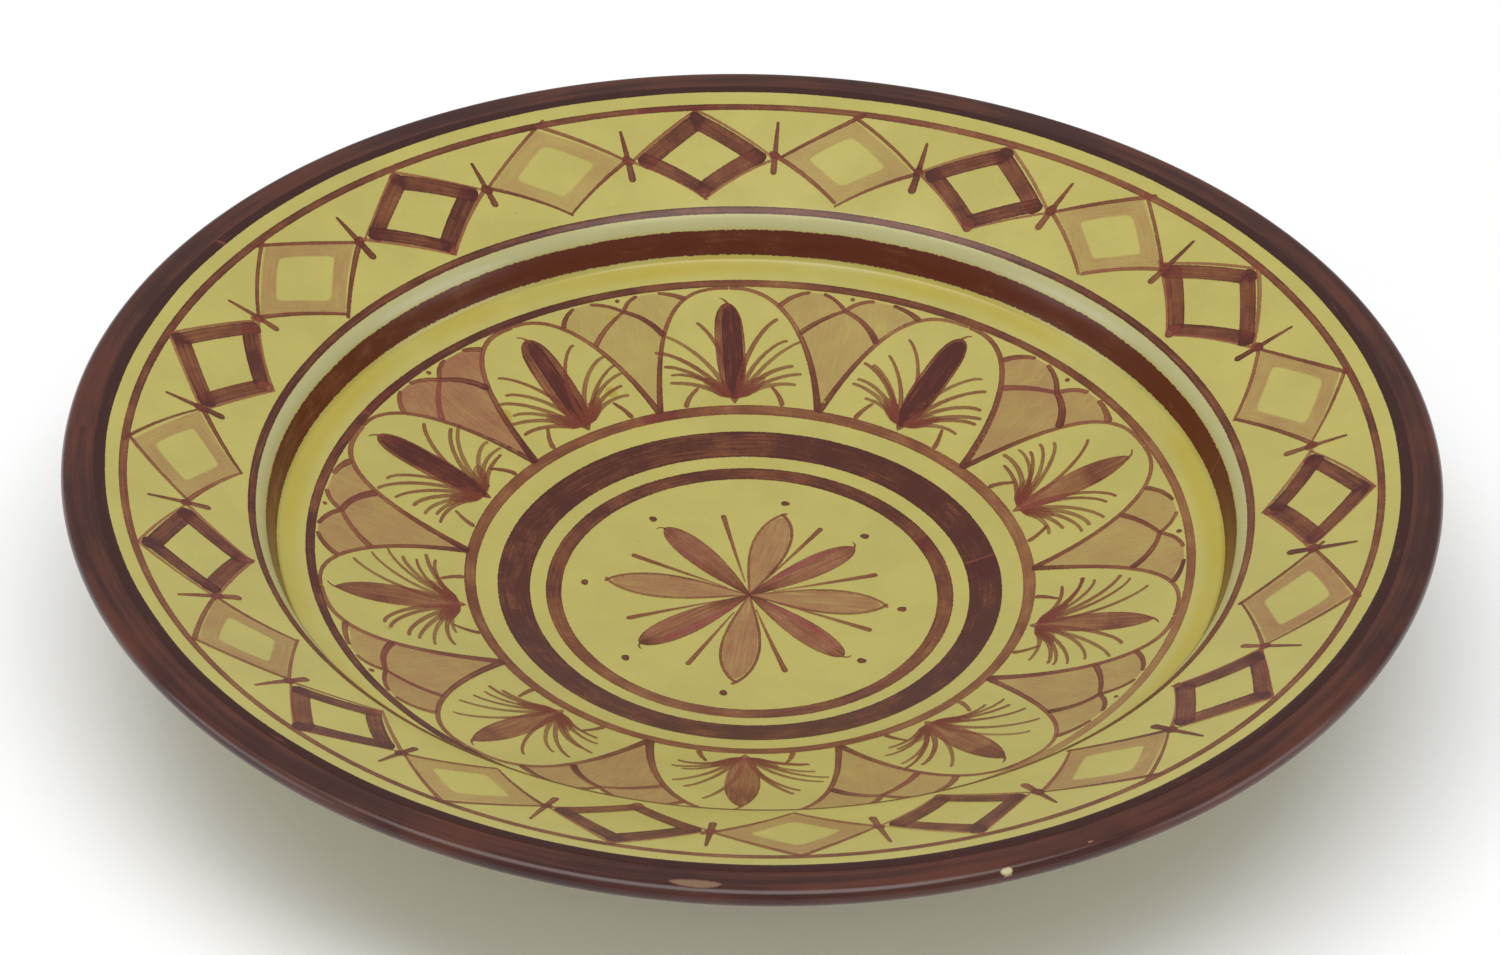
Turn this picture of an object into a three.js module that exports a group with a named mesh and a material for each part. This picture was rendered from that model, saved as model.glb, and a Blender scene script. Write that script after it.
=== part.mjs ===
// Hand painted ceramic plate: a thrown clay dish with a wide sloping flange, a short steep wall and a
// dished floor. It stands on a foot ring. The clay carries yellow glaze, a brown glazed lip and seven
// brown bands banded on a wheel. Units are millimetres, +Z is up, and the foot stands on z = 0.

import * as THREE from 'three';

// Driving dimensions
const PLATE_RADIUS = 125;
const PLATE_HEIGHT = 44;
const SEGMENTS = 48;

// The face: floor, cove, wall, flange and lip
const FLOOR_CENTRE_Z = 9.2;
const FLOOR_FLAT_RADIUS = 37;
const FLOOR_BEND = 8;
const FLOOR_SLOPE = 0.322;
const WALL_FOOT_RADIUS = 86;
const WALL_RADIUS = 87.6;
const WALL_TOP_RADIUS = 92;
const WALL_RISE = 9.2;
const COVE_ROUND = 0.8;
const SHOULDER_ROUND = 1.8;
const FLANGE_BOW = [7.5, 2.3];
const RIM_BAND_RADIUS = 117.5;
const LIP_ROUND = 1.7;
const LIP_DROP = 0.2;

// The back: clay thickness under the face, and the foot ring
const CLAY_THICKNESS = 6;
const HEEL_START_RADIUS = 80;
const HEEL_ROUND = 2.5;
const HEEL_TOP_OUT = 1;
const UNDER_FLANGE_BOW = [9, 8];
const FOOT_OUTER_RADIUS = 61;
const FOOT_INNER_RADIUS = 53;
const FOOT_TAPER = 1.5;
const RIM_BACK_RADIUS = 114;

// The fired layers
const GLAZE = 0.6;
const PAINT = 0.3;
const LAYER_GAP = 0.05;
const BUTT_GAP = 0.3;

// The wheel-banded lines, each from its inner to its outer radius
const BANDS = {
  outer_line: [113.3, 114.6],
  shoulder_line: [90.3, 91.7],
  wall_band: [86.7, 88.6],
  well_line: [80.2, 81.6],
  medallion_line: [50.4, 52.7],
  medallion_band: [40.5, 46.6],
  inner_ring: [34.7, 37.7],
};

// How finely each curve of the section is drawn
const STEPS = { floor: 9, wall: 6, flange: 3, lip: 3, underFlange: 4, heel: 3 };

const COLOURS = {
  clay: 0xa4694a,
  yellow: 0xb8ae66,
  rim: 0x4f352e,
  band: 0x5c352c,
  wall: 0x592114,
  line: 0x7a4230,
};
const CLAY_ROUGHNESS = 0.9;
const GLAZE_ROUGHNESS = 0.2;

const LIP_TOP_RADIUS = PLATE_RADIUS - LIP_ROUND;
const LIP_CENTRE_Z = PLATE_HEIGHT - LIP_ROUND;
const RIM_Z = PLATE_HEIGHT - LIP_DROP;
const WALL_FOOT_Z = floorHeight(WALL_FOOT_RADIUS);
const WALL_TOP_Z = WALL_FOOT_Z + WALL_RISE;
const CLAY_DEPTH = GLAZE + LAYER_GAP;

function point(radius, height) {
  return new THREE.Vector2(radius, height);
}

function finish(colour, roughness) {
  return new THREE.MeshStandardMaterial({ color: colour, roughness, metalness: 0 });
}

function glaze(colour) {
  return finish(colour, GLAZE_ROUGHNESS);
}

function clay() {
  return finish(COLOURS.clay, CLAY_ROUGHNESS);
}

// How far the floor has risen at a distance past its flat middle: one branch of a hyperbola, which goes
// from level to its full slope within the bend.
function bendRise(past) {
  return (FLOOR_SLOPE * (Math.hypot(past, FLOOR_BEND) + past)) / 2;
}

// The height of the floor: nearly level to the flat radius, and then an even slope up to the cove.
function floorHeight(radius) {
  return FLOOR_CENTRE_Z + bendRise(radius - FLOOR_FLAT_RADIUS) - bendRise(-FLOOR_FLAT_RADIUS);
}

// A quarter of the rounded lip, between two angles seen in section.
function lipArc(fromAngle, toAngle) {
  const arc = new THREE.Path();
  arc.absarc(LIP_TOP_RADIUS, LIP_CENTRE_Z, LIP_ROUND, fromAngle, toAngle, true);
  return arc.getPoints(STEPS.lip);
}

// The face in section, from the axis outwards to the side of the lip.
function faceLine() {
  const [bowIn, bowDown] = FLANGE_BOW;
  const floor = Array.from({ length: STEPS.floor }, (_, step) => {
    const radius = (WALL_FOOT_RADIUS * step) / STEPS.floor;
    return point(radius, floorHeight(radius));
  });
  const wall = new THREE.CubicBezierCurve(
    point(WALL_FOOT_RADIUS, WALL_FOOT_Z),
    point(WALL_RADIUS, WALL_FOOT_Z + COVE_ROUND),
    point(WALL_RADIUS, WALL_TOP_Z - SHOULDER_ROUND),
    point(WALL_TOP_RADIUS, WALL_TOP_Z),
  );
  const flange = new THREE.QuadraticBezierCurve(
    point(WALL_TOP_RADIUS, WALL_TOP_Z),
    point(RIM_BAND_RADIUS - bowIn, RIM_Z - bowDown),
    point(RIM_BAND_RADIUS, RIM_Z),
  );
  const outwards = [...wall.getPoints(STEPS.wall), ...flange.getPoints(STEPS.flange).slice(1)];
  return [...floor, ...outwards, ...lipArc(Math.PI / 2, 0)];
}

// The back in section, from the side of the lip inwards to the axis. It follows the face at the
// thickness of the clay, with a soft heel under the wall.
function backLine() {
  const [bowIn, bowDown] = UNDER_FLANGE_BOW;
  const heelTop = point(WALL_TOP_RADIUS + HEEL_TOP_OUT, WALL_FOOT_Z + HEEL_ROUND);
  const heelFoot = point(HEEL_START_RADIUS, floorHeight(HEEL_START_RADIUS) - CLAY_THICKNESS);
  const flange = new THREE.QuadraticBezierCurve(
    point(LIP_TOP_RADIUS, LIP_CENTRE_Z - LIP_ROUND),
    point(RIM_BAND_RADIUS - bowIn, RIM_Z - bowDown),
    heelTop,
  );
  const heel = new THREE.QuadraticBezierCurve(heelTop, point(WALL_RADIUS, WALL_FOOT_Z - HEEL_ROUND), heelFoot);
  const floorRadii = [FOOT_OUTER_RADIUS, FOOT_INNER_RADIUS, FOOT_INNER_RADIUS / 2, 0];
  const floor = floorRadii.map((radius) => point(radius, floorHeight(radius) - CLAY_THICKNESS));
  const inwards = [...flange.getPoints(STEPS.underFlange).slice(1), ...heel.getPoints(STEPS.heel).slice(1)];
  return [...lipArc(0, -Math.PI / 2), ...inwards, ...floor];
}

// Moves a line of points sideways, towards the left of its direction. Both lines run with the open air
// on their left, so a positive distance leaves the plate and a negative one goes into the clay.
function offset(line, distance) {
  return line.map((here, index) => {
    const before = line[Math.max(index - 1, 0)];
    const after = line[Math.min(index + 1, line.length - 1)];
    const along = after.clone().sub(before).normalize();
    if (here.x === 0) {
      along.set(Math.sign(along.x), 0);
    }
    return point(here.x - along.y * distance, here.y + along.x * distance);
  });
}

// The point where a line passes a radius.
function pointAt(line, radius) {
  const index = line.findIndex((here, at) => (here.x - radius) * (line[at + 1].x - radius) <= 0);
  const start = line[index];
  const end = line[index + 1];
  return start.clone().lerp(end, (radius - start.x) / (end.x - start.x));
}

// The stretch of a line between two radii, with an end point added on each of them.
function stretch(line, from, to) {
  const low = Math.min(from, to);
  const high = Math.max(from, to);
  const inside = line.filter((here) => here.x > low && here.x < high);
  return [pointAt(line, from), ...inside, pointAt(line, to)];
}

// A solid of revolution about +Z from an outline that closes on itself or runs from axis to axis. Its
// points are put in the order that turns the faces outwards.
function turned(name, outline, material) {
  const closed = outline[0].x > 0 ? [...outline, outline[0]] : outline;
  const ordered = THREE.ShapeUtils.area(closed) > 0 ? closed : closed.reverse();
  const geometry = new THREE.LatheGeometry(ordered, SEGMENTS);
  geometry.rotateX(Math.PI / 2);
  const mesh = new THREE.Mesh(geometry, material);
  mesh.name = name;
  return mesh;
}

// A layer of even thickness on the face, between two radii and two distances from the face line.
function faceLayer(name, from, to, low, high, material) {
  const under = stretch(offset(FACE, low), from, to);
  const over = stretch(offset(FACE, high), from, to);
  return turned(name, [...under, ...over.reverse()], material);
}

// A glaze layer on the back, between two radii.
function backGlaze(name, from, to) {
  const under = stretch(offset(BACK, -GLAZE), from, to);
  const over = stretch(BACK, from, to);
  return turned(name, [...under, ...over.reverse()], glaze(COLOURS.yellow));
}

const FACE = faceLine();
const BACK = backLine();

function clayBody() {
  const section = [...offset(FACE, -CLAY_DEPTH), ...offset(BACK, -CLAY_DEPTH).slice(1)];
  return turned('clay_body', section, clay());
}

// The foot ring: a tapered ring luted to the back, standing on its flat underside.
function footRing() {
  const seat = offset(BACK, -CLAY_DEPTH);
  const section = [
    point(FOOT_INNER_RADIUS, pointAt(seat, FOOT_INNER_RADIUS).y - BUTT_GAP),
    point(FOOT_INNER_RADIUS + FOOT_TAPER, 0),
    point(FOOT_OUTER_RADIUS - FOOT_TAPER, 0),
    point(FOOT_OUTER_RADIUS, pointAt(seat, FOOT_OUTER_RADIUS).y - BUTT_GAP),
  ];
  return turned('foot_ring', section, clay());
}

// The brown glaze that wraps the lip, from the face round to the back.
function rimGlaze() {
  const section = [GLAZE, 0].map((depth) => {
    const top = offset(FACE, -depth).filter((here) => here.x > RIM_BAND_RADIUS);
    const under = offset(BACK, -depth).filter((here) => here.x > RIM_BACK_RADIUS);
    return [pointAt(offset(FACE, -depth), RIM_BAND_RADIUS), ...top, ...under.slice(1),
      pointAt(offset(BACK, -depth), RIM_BACK_RADIUS)];
  });
  return turned('rim_glaze', [...section[0], ...section[1].reverse()], glaze(COLOURS.rim));
}

function bandColour(name) {
  if (name.endsWith('line')) {
    return COLOURS.line;
  }
  return name === 'wall_band' ? COLOURS.wall : COLOURS.band;
}

const plate = new THREE.Group();
plate.add(clayBody());
plate.add(footRing());
plate.add(faceLayer('face_glaze', 0, RIM_BAND_RADIUS - BUTT_GAP, -GLAZE, 0, glaze(COLOURS.yellow)));
plate.add(rimGlaze());
plate.add(backGlaze('back_glaze', RIM_BACK_RADIUS - BUTT_GAP, FOOT_OUTER_RADIUS + BUTT_GAP));
plate.add(backGlaze('base_glaze', FOOT_INNER_RADIUS - BUTT_GAP, 0));
for (const [name, [inner, outer]] of Object.entries(BANDS)) {
  plate.add(faceLayer(name, inner, outer, LAYER_GAP, PAINT, glaze(bandColour(name))));
}

export default plate;
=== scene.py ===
"""Finishes a hand painted ceramic plate: glaze over the packed clay form, and every brush stroke on it.

Lengths in the settings are metres. Places on the plate are given as an angle, counted from +X towards
+Y, and a radius from the turning axis.
"""

import math

import bpy
import numpy as np
from bpy.props import FloatProperty, FloatVectorProperty, IntProperty, PointerProperty
from mathutils import Matrix, Vector


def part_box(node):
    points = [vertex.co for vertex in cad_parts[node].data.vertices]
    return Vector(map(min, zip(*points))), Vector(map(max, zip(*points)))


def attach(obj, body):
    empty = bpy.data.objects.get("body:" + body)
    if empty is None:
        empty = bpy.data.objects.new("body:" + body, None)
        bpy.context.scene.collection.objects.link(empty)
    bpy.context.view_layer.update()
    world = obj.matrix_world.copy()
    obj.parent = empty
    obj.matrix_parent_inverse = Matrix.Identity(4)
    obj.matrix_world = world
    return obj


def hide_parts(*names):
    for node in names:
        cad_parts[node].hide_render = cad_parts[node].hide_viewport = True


bl_info = {
    "name": "Hand painted plate",
    "version": (1, 0, 0),
    "blender": (4, 5, 0),
    "location": "3D View > Sidebar > Plate",
    "description": "Glazes and paints a ceramic plate round its packed form",
    "category": "Object",
}

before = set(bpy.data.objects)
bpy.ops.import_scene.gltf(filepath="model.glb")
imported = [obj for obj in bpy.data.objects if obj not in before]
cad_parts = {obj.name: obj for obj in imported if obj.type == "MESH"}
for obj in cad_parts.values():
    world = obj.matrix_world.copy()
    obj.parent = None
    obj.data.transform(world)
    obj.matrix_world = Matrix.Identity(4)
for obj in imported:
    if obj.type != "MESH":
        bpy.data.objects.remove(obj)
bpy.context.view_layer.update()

MM = 0.001
BODY = "root"


def outer_radius(node):
    """The radius of a turned CAD node, from its box."""
    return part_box(node)[1].x


FOOT_RADIUS = outer_radius("foot_ring")


# ---------------------------------------------------------------- settings


def length(name, default, description):
    return FloatProperty(
        name=name, description=description, default=default, subtype="DISTANCE", unit="LENGTH"
    )


def colour(name, default, description):
    return FloatVectorProperty(
        name=name, description=description, default=default, size=3, min=0.0, max=1.0, subtype="COLOR"
    )


def angle(name, degrees, description):
    return FloatProperty(name=name, description=description, default=math.radians(degrees), subtype="ANGLE")


def hand_seed(default):
    return IntProperty(name="Seed", description="Seed of the hand's small errors", default=default)


class PlateForm(bpy.types.PropertyGroup):
    """The turned form, which the packed clay body gives."""

    floor_centre: length("Floor centre", 9.2 * MM, "Height of the floor's middle above the table")
    floor_flat: length("Flat radius", 37 * MM, "Radius up to which the floor is nearly level")
    floor_bend: length("Floor bend", 8 * MM, "How gently the level middle turns into the slope")
    floor_slope: FloatProperty(
        name="Floor slope", description="Rise of the floor for each step outwards", default=0.322
    )
    wall_foot: length("Wall foot", 86 * MM, "Radius where the floor turns up into the wall")
    wall_radius: length("Wall radius", 87.6 * MM, "Radius at which the wall is steepest")
    wall_top: length("Wall top", 92 * MM, "Radius where the wall turns out into the flange")
    wall_rise: length("Wall rise", 9.2 * MM, "Height of the wall between its foot and its top")
    rim_band: length("Rim band", 117.5 * MM, "Radius where the brown lip begins")
    lip_round: length("Lip round", 1.7 * MM, "Radius of the rounded lip")
    lip_drop: length("Lip drop", 0.2 * MM, "How far the lip's top stands over the rim band's inner edge")
    clay: length("Clay thickness", 6 * MM, "Thickness of the clay under the floor")
    heel_start: length("Heel start", 80 * MM, "Radius where the back turns up under the wall")
    warp: length("Warp", 0.25 * MM, "How far the rim is out of true, as a fired rim always is")


class GlazeColours(bpy.types.PropertyGroup):
    """The colours of the fired surfaces."""

    yellow: colour("Yellow", (0.416, 0.362, 0.090), "The opaque yellow glaze")
    pooled: colour("Pooled yellow", (0.400, 0.315, 0.032), "The yellow where it has run thick")
    # This pale colour also makes the glaze's grain, the clay's sand, a chip's fresh break, and the painted
    # highlight round the wall's shoulder.
    thin: colour("Thin yellow", (0.430, 0.410, 0.215), "The yellow where it has run thin over an edge")
    lip: colour("Lip", (0.036, 0.010, 0.007), "The dark brown lip")
    lip_thin: colour("Thin lip", (0.086, 0.024, 0.012), "The brown of the lip where it is thin")
    clay: colour("Clay", (0.370, 0.150, 0.075), "The bare fired clay")
    dust: colour("Dusty pigment", (0.270, 0.060, 0.062), "Brown pigment washed thin")
    stroke: colour("Thin pigment", (0.245, 0.062, 0.042), "Brown pigment where a stroke is thin")
    pigment: colour("Pigment", (0.160, 0.037, 0.021), "Brown pigment as a stroke leaves it")
    wall: colour("Wall band", (0.098, 0.018, 0.007), "The redder brown of the band on the wall")
    dense: colour("Dense pigment", (0.068, 0.016, 0.012), "Brown pigment laid thick")


class Bands(bpy.types.PropertyGroup):
    """The widths of the turned bands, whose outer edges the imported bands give."""

    outer_line: length("Outer line", 1.5 * MM, "Width of the line inside the lip")
    shoulder_line: length("Shoulder line", 1.4 * MM, "Width of the line at the flange's foot")
    wall_band: length("Wall band", 1.9 * MM, "Width of the band on the wall")
    well_line: length("Well line", 1.75 * MM, "Width of the line round the floor")
    medallion_line: length("Medallion line", 2.3 * MM, "Width of the line that the arches stand on")
    medallion_band: length("Medallion band", 6.1 * MM, "Width of the broad band")
    inner_ring: length("Inner ring", 3.0 * MM, "Width of the ring round the flower")
    seed: hand_seed(2)


class Lattice(bpy.types.PropertyGroup):
    """The chain of diamonds on the flange."""

    pairs: IntProperty(
        name="Pairs", description="Dark diamonds, each with a pale one after it", default=11, min=3
    )
    start: angle("Start", 96.4, "Where the first dark diamond stands")
    outer: length("Outer corner", 112.9 * MM, "Radius of the diamonds' outer corners")
    middle: length("Side corners", 102.9 * MM, "Radius of the side corners, where the chain is joined")
    inner: length("Inner corner", 93.0 * MM, "Radius of the diamonds' inner corners")
    bar: length("Bar", 3.3 * MM, "Width of a dark diamond's strokes")
    wash: length("Wash", 3.5 * MM, "Width of a pale diamond's wash")
    outline: length("Outline", 0.95 * MM, "Width of the thin outlines")
    seed: hand_seed(11)


class Arches(bpy.types.PropertyGroup):
    """The arches round the floor, with what they hold and what lies between them."""

    foot: length("Foot", 52.2 * MM, "Radius where the arches stand")
    crown: length("Crown", 79.6 * MM, "Radius of the arches' tops")
    outline: length("Outline", 0.95 * MM, "Width of the arches' lines")
    leaf_length: length("Leaf length", 22.5 * MM, "Length of the leaf in each arch")
    leaf_width: length("Leaf width", 5.4 * MM, "Width of the leaf in each arch")
    hairs: IntProperty(name="Hairs", description="Fine strokes in each fan beside a leaf", default=7, min=1)
    seed: hand_seed(29)


class Flower(bpy.types.PropertyGroup):
    """The flower in the medallion."""

    petal_length: length("Petal length", 25.5 * MM, "Length of the petals from the middle")
    petal_width: length("Petal width", 6.2 * MM, "Width of the petals")
    ray_start: length("Ray start", 5 * MM, "Radius where the rays begin")
    ray_end: length("Ray end", 24.3 * MM, "Radius where the rays end")
    dot_radius: length("Dot circle", 29.2 * MM, "Radius of the circle that the dots stand on")
    dot: length("Dot", 1.6 * MM, "Width of a dot")
    seed: hand_seed(5)


class Stage(bpy.types.PropertyGroup):
    """The camera, the floor and the lights."""

    camera: FloatVectorProperty(
        name="Camera", description="Where the camera stands", default=(0.0, -0.873, 0.68575), subtype="XYZ"
    )
    target: FloatVectorProperty(
        name="Target",
        description="What the camera looks at",
        default=(-0.00043, -0.01004, 0.0438),
        subtype="XYZ",
    )
    roll: angle("Roll", 1.465, "How far the camera is turned about its line of sight")
    lens: FloatProperty(name="Lens", description="Focal length in millimetres", default=143.36)
    floor: colour("Floor", (0.91, 0.91, 0.92), "The pale floor")
    key: FloatProperty(name="Key light", description="Power of the light overhead in watts", default=23.2)
    fill: FloatProperty(name="Fill light", description="Power of each side light in watts", default=4.0)
    sky: FloatProperty(name="Sky", description="Strength of the even light from all round", default=0.46)


SETTINGS = {
    "plate_form": PlateForm,
    "plate_glaze": GlazeColours,
    "plate_bands": Bands,
    "plate_lattice": Lattice,
    "plate_arches": Arches,
    "plate_flower": Flower,
    "plate_stage": Stage,
}


# How the section's curves are drawn: the pull of the rounds at the wall's foot and top, and how far the
# flange's two sides are bowed inwards and downwards.
COVE_ROUND = 0.8 * MM
SHOULDER_ROUND = 1.8 * MM
FLANGE_BOW = (7.5 * MM, 2.3 * MM)
UNDER_FLANGE_BOW = (9 * MM, 8 * MM)
LIP_LEAD = 3 * MM
HEEL_TOP_OUT = 1 * MM
HEEL_ROUND = 2.5 * MM

# The foot ring: how far its sides lean in, the round at its tread, and how far it goes into the clay.
FOOT_TAPER = 1.5 * MM
FOOT_BEVEL = 0.8 * MM
FOOT_SINK = 1.0 * MM

# How far the back's and the base's glaze run on under the foot ring.
GLAZE_UNDER_FOOT = {"outside": 2 * MM, "inside": 1 * MM}

# The saddle and the third wave of the warp: how high each is as a share, and its turn.
WARP_WAVES = ((2, 1, -0.9), (3, 0.35, 0.4))

# How finely the section's curves are drawn, and how finely each piece is turned.
POINTS = {"floor": 49, "wall": 25, "flange": 17, "lip_top": 6, "lip": 9, "under_flange": 20, "heel": 14}
UNDER_FLOOR_POINTS = 40
BEVEL_POINTS = 6
SEGMENTS = {"glazed_face": 384, "glazed_lip": 384, "glazed_back": 256, "glazed_base": 192, "foot": 256}

# A radius or a distance smaller than this is nothing.
NOTHING = 1e-9

# How far each dark diamond stands from its even place, in degrees, as the painter's hand strayed.
LATTICE_DRIFT = (0, 1, 2, -1, -2, -2, -1, 0, 2, 2, 0)

# How strong the wash is in the pale diamond after each dark one.
PALE_LOADS = (0.14, 0.17, 0.18, 0.26, 0.21, 0.20, 0.16, 0.21, 0.18, 0.19, 0.14)

# The painter spaced the ten arches by eye, clockwise from the far side: their angles in degrees.
ARCH_TURNS = (94, 59, 23, -15, -53, -90, -128, -167, -203, -234)

# The width of the dense second stroke in each arch's leaf, as a share of the leaf; most leaves have none.
DARK_LEAVES = (0.74, 0.90, 0, 0, 0, 0, 0, 0, 0.86, 0.55)

# How strong the wash is in each space between arches, from the one after the first arch.
SPANDREL_LOADS = (0.14, 0.20, 0.16, 0.17, 0.16, 0.22, 0.21, 0.23, 0.38, 0.10)

# The angles of the petals, a pale one first, and of the rays between them.
PETAL_TURNS = (76, 37.8, -5.7, -46.1, -95, -141.8, 172.8, 129.7)
RAY_TURNS = (57.5, 16.2, -23.9, -73, -117.2, -160, 153.4, 102.5)

# Chips in the lip: angle in degrees, radius, length and width in millimetres, and how fresh the break is.
LIP_CHIPS = ((-69.4, 124.4, 2.4, 1.4, 0.9), (-93.6, 122.8, 9.0, 2.2, 0.16), (-62, 123.4, 1.2, 0.6, 0.6))

# Small runs of lemon glaze on the floor: angle in degrees, radius and width in millimetres, and their load.
LEMON_SPOTS = ((138, 63.5, 3.6), (117.5, 59.5, 3.0), (112, 75.8, 1.8), (76, 55, 1.6), (-158, 70, 1.4))
LEMON_LOAD = 0.5
WEAR_SEED = 3


# ---------------------------------------------------------------- the turned form


def bezier(controls, count):
    """count points of a Bezier curve: each control point times its Bernstein polynomial of t, summed."""
    points = np.asarray(controls, float)
    order = len(points) - 1
    t = np.linspace(0.0, 1.0, count)[:, None]
    k = np.arange(order + 1)
    binomial = np.array([math.comb(order, i) for i in k])
    return (binomial * t**k * (1 - t) ** (order - k)) @ points


def arc(centre, radius, start, end, count):
    """count points of an arc in section, between two angles in degrees."""
    turn = np.radians(np.linspace(start, end, count))
    return np.stack([centre[0] + radius * np.cos(turn), centre[1] + radius * np.sin(turn)], axis=1)


def bend_rise(form, past):
    """How far the floor has risen at a distance past its flat middle: one branch of a hyperbola."""
    return form.floor_slope * (np.hypot(past, form.floor_bend) + past) / 2


def floor_height(form, radius):
    """The floor's height: nearly level up to the flat radius, and then an even slope."""
    return form.floor_centre + bend_rise(form, radius - form.floor_flat) - bend_rise(form, -form.floor_flat)


def lip_centre(form):
    """The centre of the lip's round, in section."""
    return outer_radius("rim_glaze") - form.lip_round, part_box("rim_glaze")[1].z - form.lip_round


def rim_height(form):
    """The face's height where the brown lip begins."""
    return lip_centre(form)[1] + form.lip_round - form.lip_drop


def face_line(form):
    """The face in section, from the axis to the side of the lip: the floor's hyperbola, a cubic for the
    wall, a quadratic for the flange, another that leads into the lip, and a quarter circle for the lip."""
    radius = np.linspace(0.0, form.wall_foot, POINTS["floor"])[:-1]
    floor = np.stack([radius, floor_height(form, radius)], axis=1)
    foot_z = floor_height(form, form.wall_foot)
    top_z = foot_z + form.wall_rise
    centre = lip_centre(form)
    rim = (form.rim_band, rim_height(form))
    lip_z = rim[1] + form.lip_drop
    wall = bezier(
        [
            (form.wall_foot, foot_z),
            (form.wall_radius, foot_z + COVE_ROUND),
            (form.wall_radius, top_z - SHOULDER_ROUND),
            (form.wall_top, top_z),
        ],
        POINTS["wall"],
    )
    bow = (rim[0] - FLANGE_BOW[0], rim[1] - FLANGE_BOW[1])
    flange = bezier([(form.wall_top, top_z), bow, rim], POINTS["flange"])
    lip_top = bezier([rim, (rim[0] + LIP_LEAD, lip_z), (centre[0], lip_z)], POINTS["lip_top"])
    lip = arc(centre, form.lip_round, 90, 0, POINTS["lip"])
    return np.concatenate([floor, wall[:-1], flange[:-1], lip_top[:-1], lip])


def back_line(form):
    """The back in section, from the side of the lip to the axis: a quarter circle, a quadratic under the
    flange, a quadratic heel, and the floor's curve again at the clay's thickness."""
    foot_z = floor_height(form, form.wall_foot)
    heel_top = (form.wall_top + HEEL_TOP_OUT, foot_z + HEEL_ROUND)
    heel_foot = (form.heel_start, floor_height(form, form.heel_start) - form.clay)
    bow = (form.rim_band - UNDER_FLANGE_BOW[0], rim_height(form) - UNDER_FLANGE_BOW[1])
    lip = arc(lip_centre(form), form.lip_round, 0, -90, POINTS["lip"])
    flange = bezier([tuple(lip[-1]), bow, heel_top], POINTS["under_flange"])
    heel = bezier([heel_top, (form.wall_radius, foot_z - HEEL_ROUND), heel_foot], POINTS["heel"])
    radius = np.linspace(form.heel_start, 0.0, UNDER_FLOOR_POINTS)[1:]
    floor = np.stack([radius, floor_height(form, radius) - form.clay], axis=1)
    return np.concatenate([lip, flange[1:], heel[1:], floor])


def warp(form, radius, turn):
    """How far a fired plate is out of true: a saddle and a small third wave, both growing from nothing at
    the foot towards the rim, with the square of the way."""
    grown = np.clip((radius - FOOT_RADIUS) / (form.rim_band - FOOT_RADIUS), 0, None) ** 2
    return form.warp * grown * sum(high * np.cos(count * turn + begin) for count, high, begin in WARP_WAVES)


def on_face(form, radius, turn, lift):
    """Points on the face at a radius and an angle, lifted along the surface's own normal."""
    line = face_line(form)
    radius, turn, lift = np.broadcast_arrays(radius, turn, lift)
    radii, heights = line[:-1].T
    height = np.interp(radius, radii, heights)
    slope = np.interp(radius, radii, np.gradient(heights, radii))
    steep = np.sqrt(1 + slope**2)
    out = radius - lift * slope / steep
    up = height + lift / steep + warp(form, radius, turn)
    return np.stack([out * np.cos(turn), out * np.sin(turn), up], axis=-1)


# ---------------------------------------------------------------- meshes


def finish_piece(name, mesh, material, replaced=()):
    """Puts a mesh on the plate's body, with its material and the CAD nodes that it stands for."""
    mesh.materials.append(material)
    mesh.shade_smooth()
    piece = bpy.data.objects.new(name, mesh)
    bpy.context.scene.collection.objects.link(piece)
    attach(piece, BODY)
    if replaced:
        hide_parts(*replaced)
    return piece


def quads_of_grid(rows, columns, closed):
    """The corner numbers of a grid's quads, row by row. A closed grid joins its last column to its first."""
    across = columns if closed else columns - 1
    row = np.arange(rows - 1)[:, None] * columns
    here = np.arange(across)[None, :]
    after = (here + 1) % columns
    below = row + columns
    return np.stack([row + here, row + after, below + after, below + here], axis=-1).reshape(-1, 4)


def mesh_of(name, points, faces, attributes=None):
    """A mesh of quads from whole arrays, with float vector attributes on its points."""
    mesh = bpy.data.meshes.new(name)
    mesh.vertices.add(len(points))
    mesh.vertices.foreach_set("co", points.astype(np.float32).ravel())
    mesh.loops.add(faces.size)
    mesh.loops.foreach_set("vertex_index", faces.astype(np.int32).ravel())
    mesh.polygons.add(len(faces))
    mesh.polygons.foreach_set("loop_start", np.arange(len(faces), dtype=np.int32) * faces.shape[1])
    for key, values in (attributes or {}).items():
        held = mesh.attributes.new(key, "FLOAT_VECTOR", "POINT")
        held.data.foreach_set("vector", values.astype(np.float32).ravel())
    mesh.update(calc_edges=True)
    mesh.validate()
    return mesh


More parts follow.
